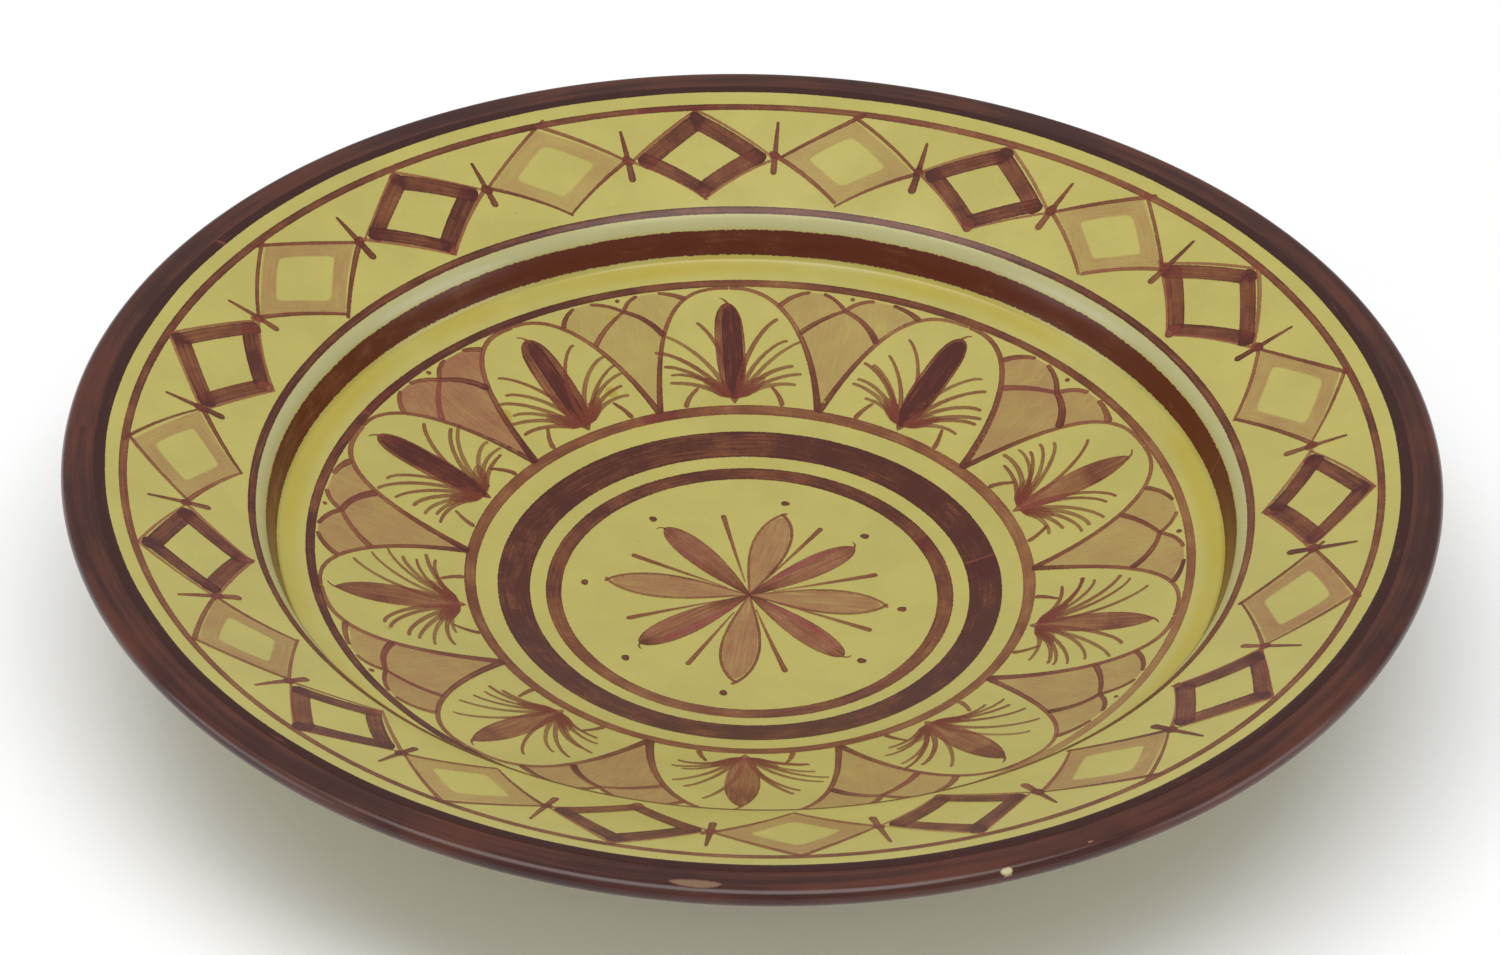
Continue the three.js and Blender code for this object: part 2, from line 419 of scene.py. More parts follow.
def revolved(name, line, segments, form):
    """A surface of revolution: each point of the line in section goes round the axis, and the plate's warp
    is added to its height. The line runs with the open air on its left. An end on the axis closes in a
    fan."""
    turn = np.linspace(0, 2 * np.pi, segments, endpoint=False)
    on_axis = [abs(line[0, 0]) < NOTHING, abs(line[-1, 0]) < NOTHING]
    rings = line[int(on_axis[0]) : len(line) - int(on_axis[1])]
    radius = rings[:, 0][:, None]
    height = rings[:, 1][:, None] + warp(form, radius, turn)
    grid = np.stack(np.broadcast_arrays(radius * np.cos(turn), radius * np.sin(turn), height), axis=-1)
    faces = quads_of_grid(len(rings), segments, True)[:, ::-1]
    points = grid.reshape(-1, 3)
    mesh = bpy.data.meshes.new(name)
    polygons = faces.tolist()
    here = np.arange(segments)
    after = (here + 1) % segments
    if on_axis[0]:
        points = np.vstack([points, [0, 0, line[0, 1]]])
        polygons += np.stack([here, after, np.full(segments, len(points) - 1)], axis=1).tolist()
    if on_axis[1]:
        points = np.vstack([points, [0, 0, line[-1, 1]]])
        last = (len(rings) - 1) * segments
        tip = np.full(segments, len(points) - 1)
        polygons += np.stack([last + after, last + here, tip], axis=1).tolist()
    mesh.from_pydata(points.tolist(), [], polygons)
    mesh.validate()
    return mesh


# ---------------------------------------------------------------- brush strokes


class Strokes:
    """Brush strokes gathered into one mesh. Each stroke is a grid of points on the plate, given in plan. It
    lies over the glaze by a lift, and crossing strokes lie in different layers, so that none share a plane.
    SHIFT moves the streaks of each stroke against those of the last one."""

    LIFT = 0.05 * MM
    LAYER = 0.008 * MM
    LAYERS = 7
    SHIFT = 0.37
    END_EDGE = 0.05

    def __init__(self, form):
        self.form = form
        self.points = []
        self.faces = []
        self.brush = []
        self.paint = []
        self.count = 0
        self.layers = 0

    def add_grid(self, plan, along, across, edge, load, rise=0.0):
        """Lays a grid of plan points (rows, columns, 2) on the face. along, across and edge are millimetres
        on the stroke and load is its pigment, each (rows, columns). rise is added to the stroke's lift."""
        rows, columns = plan.shape[:2]
        radius = np.hypot(plan[..., 0], plan[..., 1])
        turn = np.arctan2(plan[..., 1], plan[..., 0])
        lift = self.LIFT + self.LAYER * (self.layers % self.LAYERS) + rise
        grid = on_face(self.form, radius, turn, lift)
        self.points.append(grid.reshape(-1, 3))
        self.faces.append(quads_of_grid(rows, columns, False) + self.count)
        self.brush.append(np.stack([along, across, edge], axis=-1).reshape(-1, 3))
        offset = np.full_like(load, self.layers * self.SHIFT % 1)
        self.paint.append(np.stack([load, offset, np.zeros_like(load)], axis=-1).reshape(-1, 3))
        self.count += rows * columns
        self.layers += 1

    def add(self, path, width, load, columns=5):
        """A stroke: its width, at each point of the path, is carried along the path in plan. The load of
        pigment is one number or one for each point."""
        step = np.gradient(path, axis=0)
        pace = np.hypot(step[:, 0], step[:, 1])
        normal = np.stack([-step[:, 1], step[:, 0]], axis=1) / pace[:, None]
        side = np.linspace(-0.5, 0.5, columns)
        plan = path[:, None, :] + normal[:, None, :] * (width[:, None] * side)[..., None]
        run = run_of(path)
        along = np.repeat(run[:, None], columns, axis=1) / MM
        across = width[:, None] * side / MM
        half = width[:, None] / 2 / MM
        to_end = np.minimum(run, run[-1] - run)[:, None] / MM
        edge = np.minimum(half - np.abs(across), to_end + self.END_EDGE)
        loads = np.broadcast_to(np.asarray(load, float).reshape(-1, 1), across.shape)
        self.add_grid(plan, along, across, edge, loads)

    def build(self, name, material, slot, replaced=()):
        """Makes the piece from all the strokes."""
        mesh = mesh_of(
            name,
            np.concatenate(self.points),
            np.concatenate(self.faces)[:, ::-1],
            {"brush": np.concatenate(self.brush), "paint": np.concatenate(self.paint)},
        )
        upwards(mesh)
        piece = finish_piece(name, mesh, material, replaced)
        piece.visible_shadow = False
        return piece


def upwards(mesh):
    """Turns over the faces that look down, so that every stroke faces out of the plate."""
    normals = np.empty(len(mesh.polygons) * 3)
    mesh.polygons.foreach_get("normal", normals)
    down = np.flatnonzero(normals.reshape(-1, 3)[:, 2] < 0)
    if len(down) == 0:
        return
    corners = np.empty(len(mesh.loops), np.int32)
    mesh.loops.foreach_get("vertex_index", corners)
    corners = corners.reshape(-1, 4)
    corners[down] = corners[down][:, ::-1]
    mesh.loops.foreach_set("vertex_index", corners.ravel())
    mesh.update(calc_edges=True)


def run_of(path):
    """How far along a path each of its points lies."""
    return np.concatenate([[0], np.cumsum(np.hypot(*np.diff(path, axis=0).T))])


def resampled(path, places):
    """The points at given distances along a path."""
    run = run_of(path)
    return np.stack([np.interp(places, run, path[:, 0]), np.interp(places, run, path[:, 1])], axis=1)


# Where the points of a round end stand, as shares of its length, and the least width there as a share.
END_PLACES = (0.0, 0.06, 0.2, 0.45, 0.75, 1.0)
LEAST_END = 0.05
LEAST_LEAF = 0.03


def brush(strokes, path, start_width, end_width, load, power=1.0, blunt=1.0, columns=5):
    """A stroke along a plan path with round ends. Its width goes from one value to another by a power of the
    length, and near each end it follows an ellipse. Its load is one number, or one for each point."""
    run = run_of(path)
    start_reach = start_width / 2 * blunt
    end_reach = end_width / 2 * blunt
    near = np.array(END_PLACES)
    inside = run[(run > start_reach) & (run < run[-1] - end_reach)]
    places = np.concatenate([near * start_reach, inside, (run[-1] - near * end_reach)[::-1]])
    places = np.unique(np.clip(places, 0, run[-1]))
    loads = np.interp(places, run, np.broadcast_to(np.asarray(load, float), run.shape))
    width = start_width + (end_width - start_width) * (places / run[-1]) ** power
    to_start = np.clip(places / start_reach, 0, 1)
    to_end = np.clip((run[-1] - places) / end_reach, 0, 1)
    for share in (to_start, to_end):
        width = width * np.maximum(np.sqrt(1 - (1 - share) ** 2), LEAST_END)
    strokes.add(resampled(path, places), width, loads, columns)


def leaf(strokes, path, width, load, fullest=0.6, base=(1.7, 0.9), tip=(2.4, 0.5), columns=11):
    """A broad stroke along a plan path, widest at a share of its length. Towards each end its width falls as
    one less a power of the way there, to a second power: base and tip give the two powers, high and low for
    a blunt end, low and high for a pointed one."""
    run = run_of(path)
    share = (1 - np.cos(np.pi * np.linspace(0, 1, len(path)))) / 2
    below = np.clip((fullest - share) / fullest, 0, 1)
    above = np.clip((share - fullest) / (1 - fullest), 0, 1)
    shape = (1 - below ** base[0]) ** base[1] * (1 - above ** tip[0]) ** tip[1]
    loads = np.interp(share * run[-1], run, np.broadcast_to(np.asarray(load, float), run.shape))
    strokes.add(resampled(path, share * run[-1]), width * np.maximum(shape, LEAST_LEAF), loads, columns)


def blob(strokes, spot, centre, width, load, rng, rings=5, segments=24, waver=(0.10, 0.05)):
    """A touch of the brush's tip: a round patch of rings about its middle, whose edge wavers in two waves."""
    turn = np.linspace(0, 2 * np.pi, segments + 1)
    share = np.linspace(0.02, 1, rings)[:, None]
    phase = rng.uniform(0, 2 * np.pi, 2)
    edge = 1 + waver[0] * np.cos(2 * turn + phase[0]) + waver[1] * np.cos(3 * turn + phase[1])
    edge = width / 2 * edge
    x = share * edge * np.cos(turn)
    y = share * edge * np.sin(turn)
    plan = spot.place(np.stack([centre[0] + x, centre[1] + y], axis=-1))
    to_edge = (1 - share) * edge / MM
    strokes.add_grid(plan, y / MM, x / MM, to_edge, np.full(x.shape, float(load)))


def wash(strokes, one, other, run, load, columns, place=None):
    """A wash ruled between two rings or curves with as many points: straight rules join their points. run is
    how far along the first one its points lie. place moves the points onto the plate if they are local."""
    side = np.linspace(0, 1, columns)[None, :, None]
    plan = one[:, None] * (1 - side) + other[:, None] * side
    width = np.hypot(*(other - one).T)[:, None] / MM
    across = (side[..., 0] - 0.5) * width
    along = np.broadcast_to((run / MM)[:, None], across.shape)
    edge = width / 2 - np.abs(across)
    plan = place(plan) if place else plan
    strokes.add_grid(plan, along, across, edge, np.full(across.shape, float(load)))


def patch(strokes, first, second, load, rows=28, columns=11):
    """A wash between two plan curves, joined at equal shares of their lengths."""
    share = np.linspace(0, 1, rows)
    run = share * run_of(first)[-1]
    other = resampled(second, share * run_of(second)[-1])
    wash(strokes, resampled(first, run), other, run, load, columns)


def frame_wash(strokes, spot, outer, inner, load, steps=9, columns=7):
    """A wash in the shape of a frame, from an outer ring of corners to an inner one, whose corners are
    rounded by the brush: each point's distance from the middle is averaged with its neighbours'."""
    share = np.linspace(0, 1, steps)[:-1, None]
    rings = []
    for corners in (outer, inner):
        sides = [corners[i] * (1 - share) + corners[(i + 1) % 4] * share for i in range(4)]
        ring = np.concatenate(sides)
        rings.append(np.concatenate([ring, ring[:1]]))
    centre = inner.mean(axis=0)
    reach = np.hypot(*(rings[1] - centre).T)
    softened = np.convolve(np.concatenate([reach[-2:-1], reach, reach[1:2]]), (0.2, 0.6, 0.2), "valid")
    rounded = centre + (rings[1] - centre) * (softened / reach)[:, None]
    wash(strokes, rings[0], rounded, run_of(rings[0]), load, columns, spot.place)


WAVE_COUNTS = (1, 2, 3, 5, 9, 17, 31)


def waves(rng, turn, size):
    """A slow waver round the plate: a few whole waves of falling height."""
    counts = np.array(WAVE_COUNTS)
    phases = rng.uniform(0, 2 * np.pi, len(counts))
    heights = rng.uniform(0.4, 1.0, len(counts)) / np.sqrt(counts)
    return size * (heights * np.cos(turn[:, None] * counts + phases)).sum(axis=1)


def stray(rng, most, shape=None):
    """A small error of the hand to either side, up to a number of millimetres."""
    return rng.uniform(-most, most, shape) * MM


def drawn(rng, low, high):
    """A length drawn between two numbers of millimetres."""
    return rng.uniform(low, high) * MM


def heading(start, end):
    """The direction from one plan point to another, one long."""
    return (end - start) / np.hypot(*(end - start))


def end_pools(count, reach=0.16):
    """One at both ends of a stroke, falling to nothing within the reach, for the pigment that pools there."""
    share = np.linspace(0, 1, count)
    return np.clip(1 - np.minimum(share, 1 - share) / reach, 0, 1)


def inwards(start, end, centre):
    """The direction square to a side that points to a centre."""
    side = heading(start, end)
    square = np.array([-side[1], side[0]])
    return square if square @ (centre - start) > 0 else -square


def bowed(start, end, bow, count=14):
    """A curve between two plan points, bowed to the left of its way by a share of its length."""
    way = end - start
    left = np.array([-way[1], way[0]])
    return bezier([start, (start + end) / 2 + left * bow * 2, end], count)


def at_radius(curve, radius):
    """The point of a plan curve at a radius, on the part of it that rises from its start."""
    reach = np.hypot(curve[:, 0], curve[:, 1])
    return np.array([np.interp(radius, reach, curve[:, 0]), np.interp(radius, reach, curve[:, 1])])


def between(curve, start, end, count=14):
    """The part of a rising plan curve between the radii of two points."""
    low, high = np.hypot(*start), np.hypot(*end)
    return np.array([at_radius(curve, radius) for radius in np.linspace(low, high, count)])


class Spot:
    """A local frame on the plate at an angle: x runs clockwise round the plate and y is the distance from the
    axis. With a bend radius, x follows the circle of that radius instead of a straight line."""

    def __init__(self, turn, bend_radius):
        self.turn = turn
        self.bend_radius = bend_radius
        self.out = np.array([math.cos(turn), math.sin(turn)])
        self.right = np.array([self.out[1], -self.out[0]])

    def place(self, points):
        """Plan points from local ones."""
        points = np.asarray(points, float)
        if self.bend_radius is None:
            return points[..., :1] * self.right + points[..., 1:] * self.out
        turn = self.turn - points[..., 0] / self.bend_radius
        return np.stack([points[..., 1] * np.cos(turn), points[..., 1] * np.sin(turn)], axis=-1)

    def curve(self, controls, count):
        """Plan points of a Bezier curve whose control points are local."""
        return self.place(bezier(controls, count))

    def place_round(self, x, radius):
        """A plan point on a circle round the axis, at a distance x along it."""
        turn = self.turn - x / radius
        return np.array([math.cos(turn), math.sin(turn)]) * radius


# ---------------------------------------------------------------- the arches' shape


def arch_turns():
    """The arches' angles in degrees."""
    return np.array(ARCH_TURNS, float)


def arch_halves(arches, number):
    """The left and right halves of an arch as plan curves that rise from its feet. Each is a quarter of a
    superellipse, whose foot is midway to the next arch. The left shoulder is squarer than the right one."""
    turns = arch_turns()
    turn = turns[number]
    before = turns[number - 1] + (360 if number == 0 else 0)
    after = turns[(number + 1) % len(turns)] - (360 if number == len(turns) - 1 else 0)
    spot = Spot(math.radians(turn), None)
    halves = []
    for neighbour, way, power in ((before, -1, 2.9), (after, 1, 2.3)):
        apart = math.radians(abs(neighbour - turn) / 2)
        half = arches.foot * math.sin(apart)
        foot = arches.foot * math.cos(apart)
        swing = np.linspace(0, np.pi / 2, 48)
        x = way * half * np.cos(swing) ** (2 / power)
        y = foot + (arches.crown - foot) * np.sin(swing) ** (2 / power)
        halves.append(spot.place(np.stack([x, y], axis=1)))
    return halves


# ---------------------------------------------------------------- materials


class Tree:
    """Short calls for building a material's nodes."""

    def __init__(self, name):
        self.material = bpy.data.materials.new(name)
        self.material.use_nodes = True
        self.nodes = self.material.node_tree.nodes
        self.links = self.material.node_tree.links
        self.shader = self.nodes["Principled BSDF"]

    def put(self, value, socket):
        """Sets a socket from a number, a colour or another socket."""
        if isinstance(value, bpy.types.NodeSocket):
            self.links.new(value, socket)
        else:
            socket.default_value = value

    def fill(self, values, node):
        """Sets a node's first sockets in their order."""
        for value, socket in zip(values, node.inputs):
            self.put(value, socket)
        return node.outputs[0]

    def coordinates(self):
        return self.nodes.new("ShaderNodeTexCoord").outputs["Object"]

    def attribute(self, name):
        node = self.nodes.new("ShaderNodeAttribute")
        node.attribute_name = name
        return self.split(node.outputs["Vector"])

    def split(self, vector):
        node = self.nodes.new("ShaderNodeSeparateXYZ")
        self.put(vector, node.inputs[0])
        return tuple(node.outputs)

    def combine(self, *values):
        return self.fill(values, self.nodes.new("ShaderNodeCombineXYZ"))

    def math(self, operation, *values, clamp=False):
        node = self.nodes.new("ShaderNodeMath")
        node.operation = operation
        node.use_clamp = clamp
        return self.fill(values, node)

    def times(self, first, second, clamp=False):
        return self.math("MULTIPLY", first, second, clamp=clamp)

    def plus(self, first, second):
        return self.math("ADD", first, second)

    def radius(self, x, y):
        return self.math("SQRT", self.plus(self.times(x, x), self.times(y, y)))

    def centred(self, value, size):
        """A noise moved to lie about nothing, and scaled."""
        return self.times(self.math("SUBTRACT", value, 0.5), size)

    def noise(self, vector, scale, detail=3.0, roughness=0.55):
        node = self.nodes.new("ShaderNodeTexNoise")
        self.put(vector, node.inputs["Vector"])
        node.inputs["Scale"].default_value = scale
        node.inputs["Detail"].default_value = detail
        node.inputs["Roughness"].default_value = roughness
        return node.outputs["Fac"]

    def specks(self, vector, scale, size, few):
        """One near the middle of some cells, and nothing elsewhere. size is the specks' radius, with a soft
        edge inside it, and few is the range of a cell's random colour in which it begins to have one."""
        node = self.nodes.new("ShaderNodeTexVoronoi")
        self.put(vector, node.inputs["Vector"])
        node.inputs["Scale"].default_value = scale
        near = self.range(node.outputs["Distance"], size, size * 0.6)
        return self.times(near, self.range(self.split(node.outputs["Color"])[0], *few))

    def range(self, value, low, high, out_low=0.0, out_high=1.0):
        """A smooth step of the value from one range to another."""
        node = self.nodes.new("ShaderNodeMapRange")
        node.interpolation_type = "SMOOTHSTEP"
        return self.fill((value, low, high, out_low, out_high), node)

    def zone(self, value, middle, rise, fall):
        """One between two stretches of the value, and nothing beyond them. Both are counted from a middle."""
        risen = self.range(value, middle[0] + rise[0], middle[0] + rise[1])
        return self.times(risen, self.range(value, middle[1] + fall[0], middle[1] + fall[1], 1.0, 0.0))

    def mix(self, factor, first, second):
        """The first colour where the factor is nothing, the second where it is one."""
        node = self.nodes.new("ShaderNodeMix")
        node.data_type = "RGBA"
        self.put(factor, node.inputs["Factor"])
        ends = [socket for socket in node.inputs if socket.type == "RGBA"]
        self.put(first, ends[0])
        self.put(second, ends[1])
        return next(socket for socket in node.outputs if socket.type == "RGBA")

    def veil(self, base, where, share, tint):
        """A colour laid over the base, as strong as a share of where it lies."""
        return self.mix(self.times(where, share), base, tint)

    def bump(self, height, distance, strength):
        node = self.nodes.new("ShaderNodeBump")
        node.inputs["Strength"].default_value = strength
        node.inputs["Distance"].default_value = distance
        self.put(height, node.inputs["Height"])
        self.links.new(node.outputs[0], self.shader.inputs["Normal"])

    def set(self, **values):
        """Sets the shader's sockets, with _ for a space in their names."""
        for key, value in values.items():
            self.put(value, self.shader.inputs[key.replace("_", " ")])
        return self.material


def rgba(values, strength=1.0):
    return (*[value * strength for value in values], 1.0)


GLASS_IOR = 1.5

# Where the yellow pools, from the wall's foot, and where a paler band is painted round the wall's shoulder as
# a painted highlight, from the wall and from its top: the stretches in which each begins and ends, and how
# far the pool's edge wanders.
POOL_RISE = (-4.2 * MM, -1.4 * MM)
POOL_FALL = (0.2 * MM, 1.0 * MM)
POOL_WANDER = 2.4 * MM
SHOULDER_HIGHLIGHT_RISE = (0.7 * MM, 1.4 * MM)
SHOULDER_HIGHLIGHT_FALL = (-2.4 * MM, -0.6 * MM)

# The share of the yellow that shows through one full load of pigment.
SHOW_THROUGH = 0.074


def yellow_glaze(colours, form):
    """Opaque yellow glaze: paler cream round the wall's shoulder as a painted highlight, richer where it
    pools under the wall, with soft mottling, a fine grain and a few dark specks."""
    tree = Tree("yellow_glaze")
    place = tree.coordinates()
    x, y, _ = tree.split(place)
    radius = tree.radius(x, y)
    wander = tree.centred(tree.noise(place, scale=30.0, detail=2.0), POOL_WANDER)
    foot = (form.wall_foot, form.wall_foot)
    pool = tree.zone(tree.plus(radius, wander), foot, POOL_RISE, POOL_FALL)
    patches = tree.range(tree.noise(place, scale=22.0, detail=1.0), 0.36, 0.62)
    # A painted highlight: a paler band round the wall's shoulder, where the curve of the wall catches the
    # light.
    thin = tree.zone(radius, (form.wall_radius, form.wall_top), SHOULDER_HIGHLIGHT_RISE, SHOULDER_HIGHLIGHT_FALL)
    mottling = tree.noise(place, scale=60.0, detail=4.0, roughness=0.6)
    grain = tree.noise(place, scale=900.0, detail=2.0, roughness=0.7)
    specks = tree.specks(place, scale=150.0, size=0.030, few=(0.80, 0.82))
    base = tree.mix(tree.range(mottling, 0.3, 0.7), rgba(colours.yellow, 0.95), rgba(colours.yellow, 1.05))
    base = tree.veil(base, tree.range(grain, 0.35, 0.65), 0.10, rgba(colours.thin))
    base = tree.veil(base, tree.times(pool, patches), 0.72, rgba(colours.pooled))
    # The painted highlight laid over the wall's shoulder.
    base = tree.veil(base, thin, 0.80, rgba(colours.thin))
    base = tree.veil(base, specks, 0.65, rgba(colours.pigment, 0.8))
    tree.bump(tree.plus(mottling, tree.times(grain, 0.25)), distance=0.05 * MM, strength=0.6)
    rough = tree.range(mottling, 0.3, 0.7, 0.22, 0.30)
    return tree.set(Base_Color=base, Roughness=rough, IOR=GLASS_IOR)


def lip_glaze(colours):
    """Dark brown glaze, streaked round the lip by the brush and redder where it is thin."""
    tree = Tree("lip_glaze")
    place = tree.coordinates()
    x, y, _ = tree.split(place)
    turn = tree.math("ARCTAN2", y, x)
    round_lip = tree.combine(tree.times(turn, 0.5), tree.times(tree.radius(x, y), 90.0), 0.0)
    streaks = tree.noise(round_lip, scale=7.0, detail=4.0)
    clouds = tree.noise(place, scale=45.0, detail=3.0)
    grain = tree.noise(place, scale=700.0, detail=2.0)
    density = tree.plus(tree.times(streaks, 0.6), tree.times(clouds, 0.4))
    base = tree.mix(tree.range(density, 0.40, 0.62), rgba(colours.lip), rgba(colours.lip_thin))
    base = tree.veil(base, grain, 0.25, rgba(colours.lip, 1.9))
    tree.bump(tree.plus(clouds, tree.times(grain, 0.2)), distance=0.06 * MM, strength=0.5)
    rough = tree.range(streaks, 0.3, 0.7, 0.18, 0.32)
    return tree.set(Base_Color=base, Roughness=rough, IOR=GLASS_IOR, Specular_IOR_Level=0.4)


def bare_clay(colours):
    """Bare fired earthenware, clouded and with pale sand grains."""
    tree = Tree("bare_clay")
    place = tree.coordinates()
    body = tree.noise(place, scale=120.0, detail=4.0)
    sand = tree.noise(place, scale=1500.0, detail=2.0)
    base = tree.mix(tree.range(body, 0.3, 0.7), rgba(colours.clay, 0.85), rgba(colours.clay, 1.15))
    base = tree.veil(base, tree.range(sand, 0.55, 0.75), 0.35, rgba(colours.thin))
    tree.bump(tree.plus(body, sand), distance=0.12 * MM, strength=0.7)
    return tree.set(Base_Color=base, Roughness=tree.range(body, 0.3, 0.7, 0.75, 0.95))


def pigment(name, colours, thin=None, thick=None, streak=0.22, ragged=0.20, soft=0.08):
    """Brown pigment brushed on the glaze. Its amount is the stroke's load, broken by streaks along the
    brush's path, by clouds and by grain, with more of it pooled along the stroke's edge. It covers the yellow
    by a power law of that amount and turns from a red brown to a dark one, unless colours are given for
    where it is thin or thick. Its edge is ragged, or soft in a wash."""
    tree = Tree(name)
    place = tree.coordinates()
    along, across, edge = tree.attribute("brush")
    load, offset, _ = tree.attribute("paint")
    lane = tree.combine(tree.times(along, 0.10), tree.times(across, 2.2), tree.times(offset, 50.0))
    streaks = tree.centred(tree.noise(lane, scale=1.1, detail=3.0), streak * 5)
    clouds = tree.centred(tree.noise(place, scale=150.0, detail=3.0), 1.1)
    grain = tree.noise(place, scale=1500.0, detail=2.0, roughness=0.6)
    body = tree.range(tree.plus(edge, tree.centred(grain, ragged)), 0.0, soft)
    pool = tree.range(edge, 0.08, 0.5, 0.22, 0.0)
    texture = tree.plus(tree.plus(streaks, clouds), tree.plus(tree.centred(grain, 0.4), pool))
    amount = tree.times(tree.plus(texture, 0.95), load)
    shows = tree.math("POWER", SHOW_THROUGH, tree.math("MAXIMUM", amount, 0.0))
    alpha = tree.times(tree.math("SUBTRACT", 1.0, shows), body, clamp=True)
    base = tree.mix(tree.range(amount, 0.25, 0.85), rgba(thin or colours.stroke), rgba(colours.pigment))
    base = tree.mix(tree.range(amount, 0.65, 1.45), base, rgba(thick or colours.dense))
    return tree.set(Base_Color=base, Alpha=alpha, Roughness=0.26, IOR=GLASS_IOR, Specular_IOR_Level=0.3)


def chipped_glaze(colours):
    """A chip whose broken face is rough and cream where it is fresh, with a brown rim."""
    tree = Tree("chipped_glaze")
    edge = tree.attribute("brush")[2]
    freshness = tree.attribute("paint")[0]
    grit = tree.noise(tree.coordinates(), scale=1800.0, detail=3.0)
    frayed = tree.plus(edge, tree.centred(grit, 0.5))
    inner = tree.times(tree.range(frayed, 0.1, 0.5), freshness)
    base = tree.mix(inner, rgba(colours.lip_thin, 1.3), rgba(colours.thin, 1.2))
    tree.bump(grit, distance=0.2 * MM, strength=1.0)
    return tree.set(Base_Color=base, Alpha=tree.range(frayed, 0.0, 0.12), Roughness=0.7)


def lemon_glaze(colours):
    """A clear lemon run on the yellow glaze, densest in its middle."""
    tree = Tree("lemon_glaze")
    edge = tree.attribute("brush")[2]
    cloud = tree.noise(tree.coordinates(), scale=500.0, detail=3.0)
    body = tree.range(tree.plus(edge, tree.centred(cloud, 0.8)), 0.0, 0.7)
    base = tree.mix(cloud, rgba(colours.pooled), rgba(colours.pooled, 0.85))
    return tree.set(Base_Color=base, Alpha=tree.times(body, 0.75), Roughness=0.22, IOR=GLASS_IOR)


def floor_paper(stage):
    """A matt pale floor with the faintest cloudiness."""
    tree = Tree("floor_paper")
    cloud = tree.noise(tree.coordinates(), scale=3.0, detail=2.0)
    base = tree.mix(tree.range(cloud, 0.3, 0.7), rgba(stage.floor), rgba(stage.floor, 0.985))
    return tree.set(Base_Color=base, Roughness=0.9)


# ---------------------------------------------------------------- operators


class PlateOperator:
    """What the plate's operators share."""

    bl_options = {"REGISTER", "UNDO"}


class PLATE_OT_stage(PlateOperator, bpy.types.Operator):
    """Set the camera, the pale floor and the lights"""

    bl_idname = "plate.stage"
    bl_label = "Stage"

    SENSOR_WIDTH = 36.0
    FLOOR_HALF = 6.0
    SKY_TINT = (0.96, 0.98, 1.0, 1.0)
    OVERHEAD = {"place": (-0.1, -0.35, 1.6), "size": (1.8, 1.1), "tint": (1.0, 0.99, 0.97)}
    WINDOW = {"size": (0.7, 0.6), "tint": (0.88, 0.93, 1.0)}
    WINDOW_PLACES = {"left_window": (-1.3, -0.3, 0.36), "right_window": (1.3, -0.3, 0.36)}

    def execute(self, context):
        stage = context.scene.plate_stage
        self.camera(context, stage)
        self.floor(context, stage)
        self.lights(context, stage)
        context.scene.view_settings.view_transform = "Standard"
        return {"FINISHED"}

    def camera(self, context, stage):
        data = bpy.data.cameras.new("camera")
        data.lens = stage.lens
        data.sensor_width = self.SENSOR_WIDTH
        data.dof.use_dof = False
        camera = bpy.data.objects.new("camera", data)
        looking = (Vector(stage.target) - Vector(stage.camera)).to_track_quat("-Z", "Y").to_matrix()
        rolled = looking @ Matrix.Rotation(stage.roll, 3, "Z")
        camera.matrix_world = Matrix.Translation(stage.camera) @ rolled.to_4x4()
        context.scene.collection.objects.link(camera)
        context.scene.camera = camera

    def floor(self, context, stage):
        half = self.FLOOR_HALF
        corners = [(-half, -half, 0), (half, -half, 0), (half, half, 0), (-half, half, 0)]
        mesh = bpy.data.meshes.new("floor")
        mesh.from_pydata(corners, [], [(0, 1, 2, 3)])
        mesh.materials.append(floor_paper(stage))
        floor = bpy.data.objects.new("floor", mesh)
        context.scene.collection.objects.link(floor)

    def lights(self, context, stage):
        self.area(context, "overhead", stage.key, **self.OVERHEAD)
        for name, place in self.WINDOW_PLACES.items():
            self.area(context, name, stage.fill, place, **self.WINDOW)
        world = bpy.data.worlds.new("sky")
        world.use_nodes = True
        background = world.node_tree.nodes["Background"]
        background.inputs["Color"].default_value = self.SKY_TINT
        background.inputs["Strength"].default_value = stage.sky
        context.scene.world = world

    def area(self, context, name, power, place, size, tint):
        data = bpy.data.lights.new(name, "AREA")
        data.shape = "RECTANGLE"
        data.size, data.size_y = size
        data.energy = power
        data.color = tint
        light = bpy.data.objects.new(name, data)
        towards_plate = (-Vector(place)).to_track_quat("-Z", "Y").to_matrix()
        light.matrix_world = Matrix.Translation(place) @ towards_plate.to_4x4()
        context.scene.collection.objects.link(light)


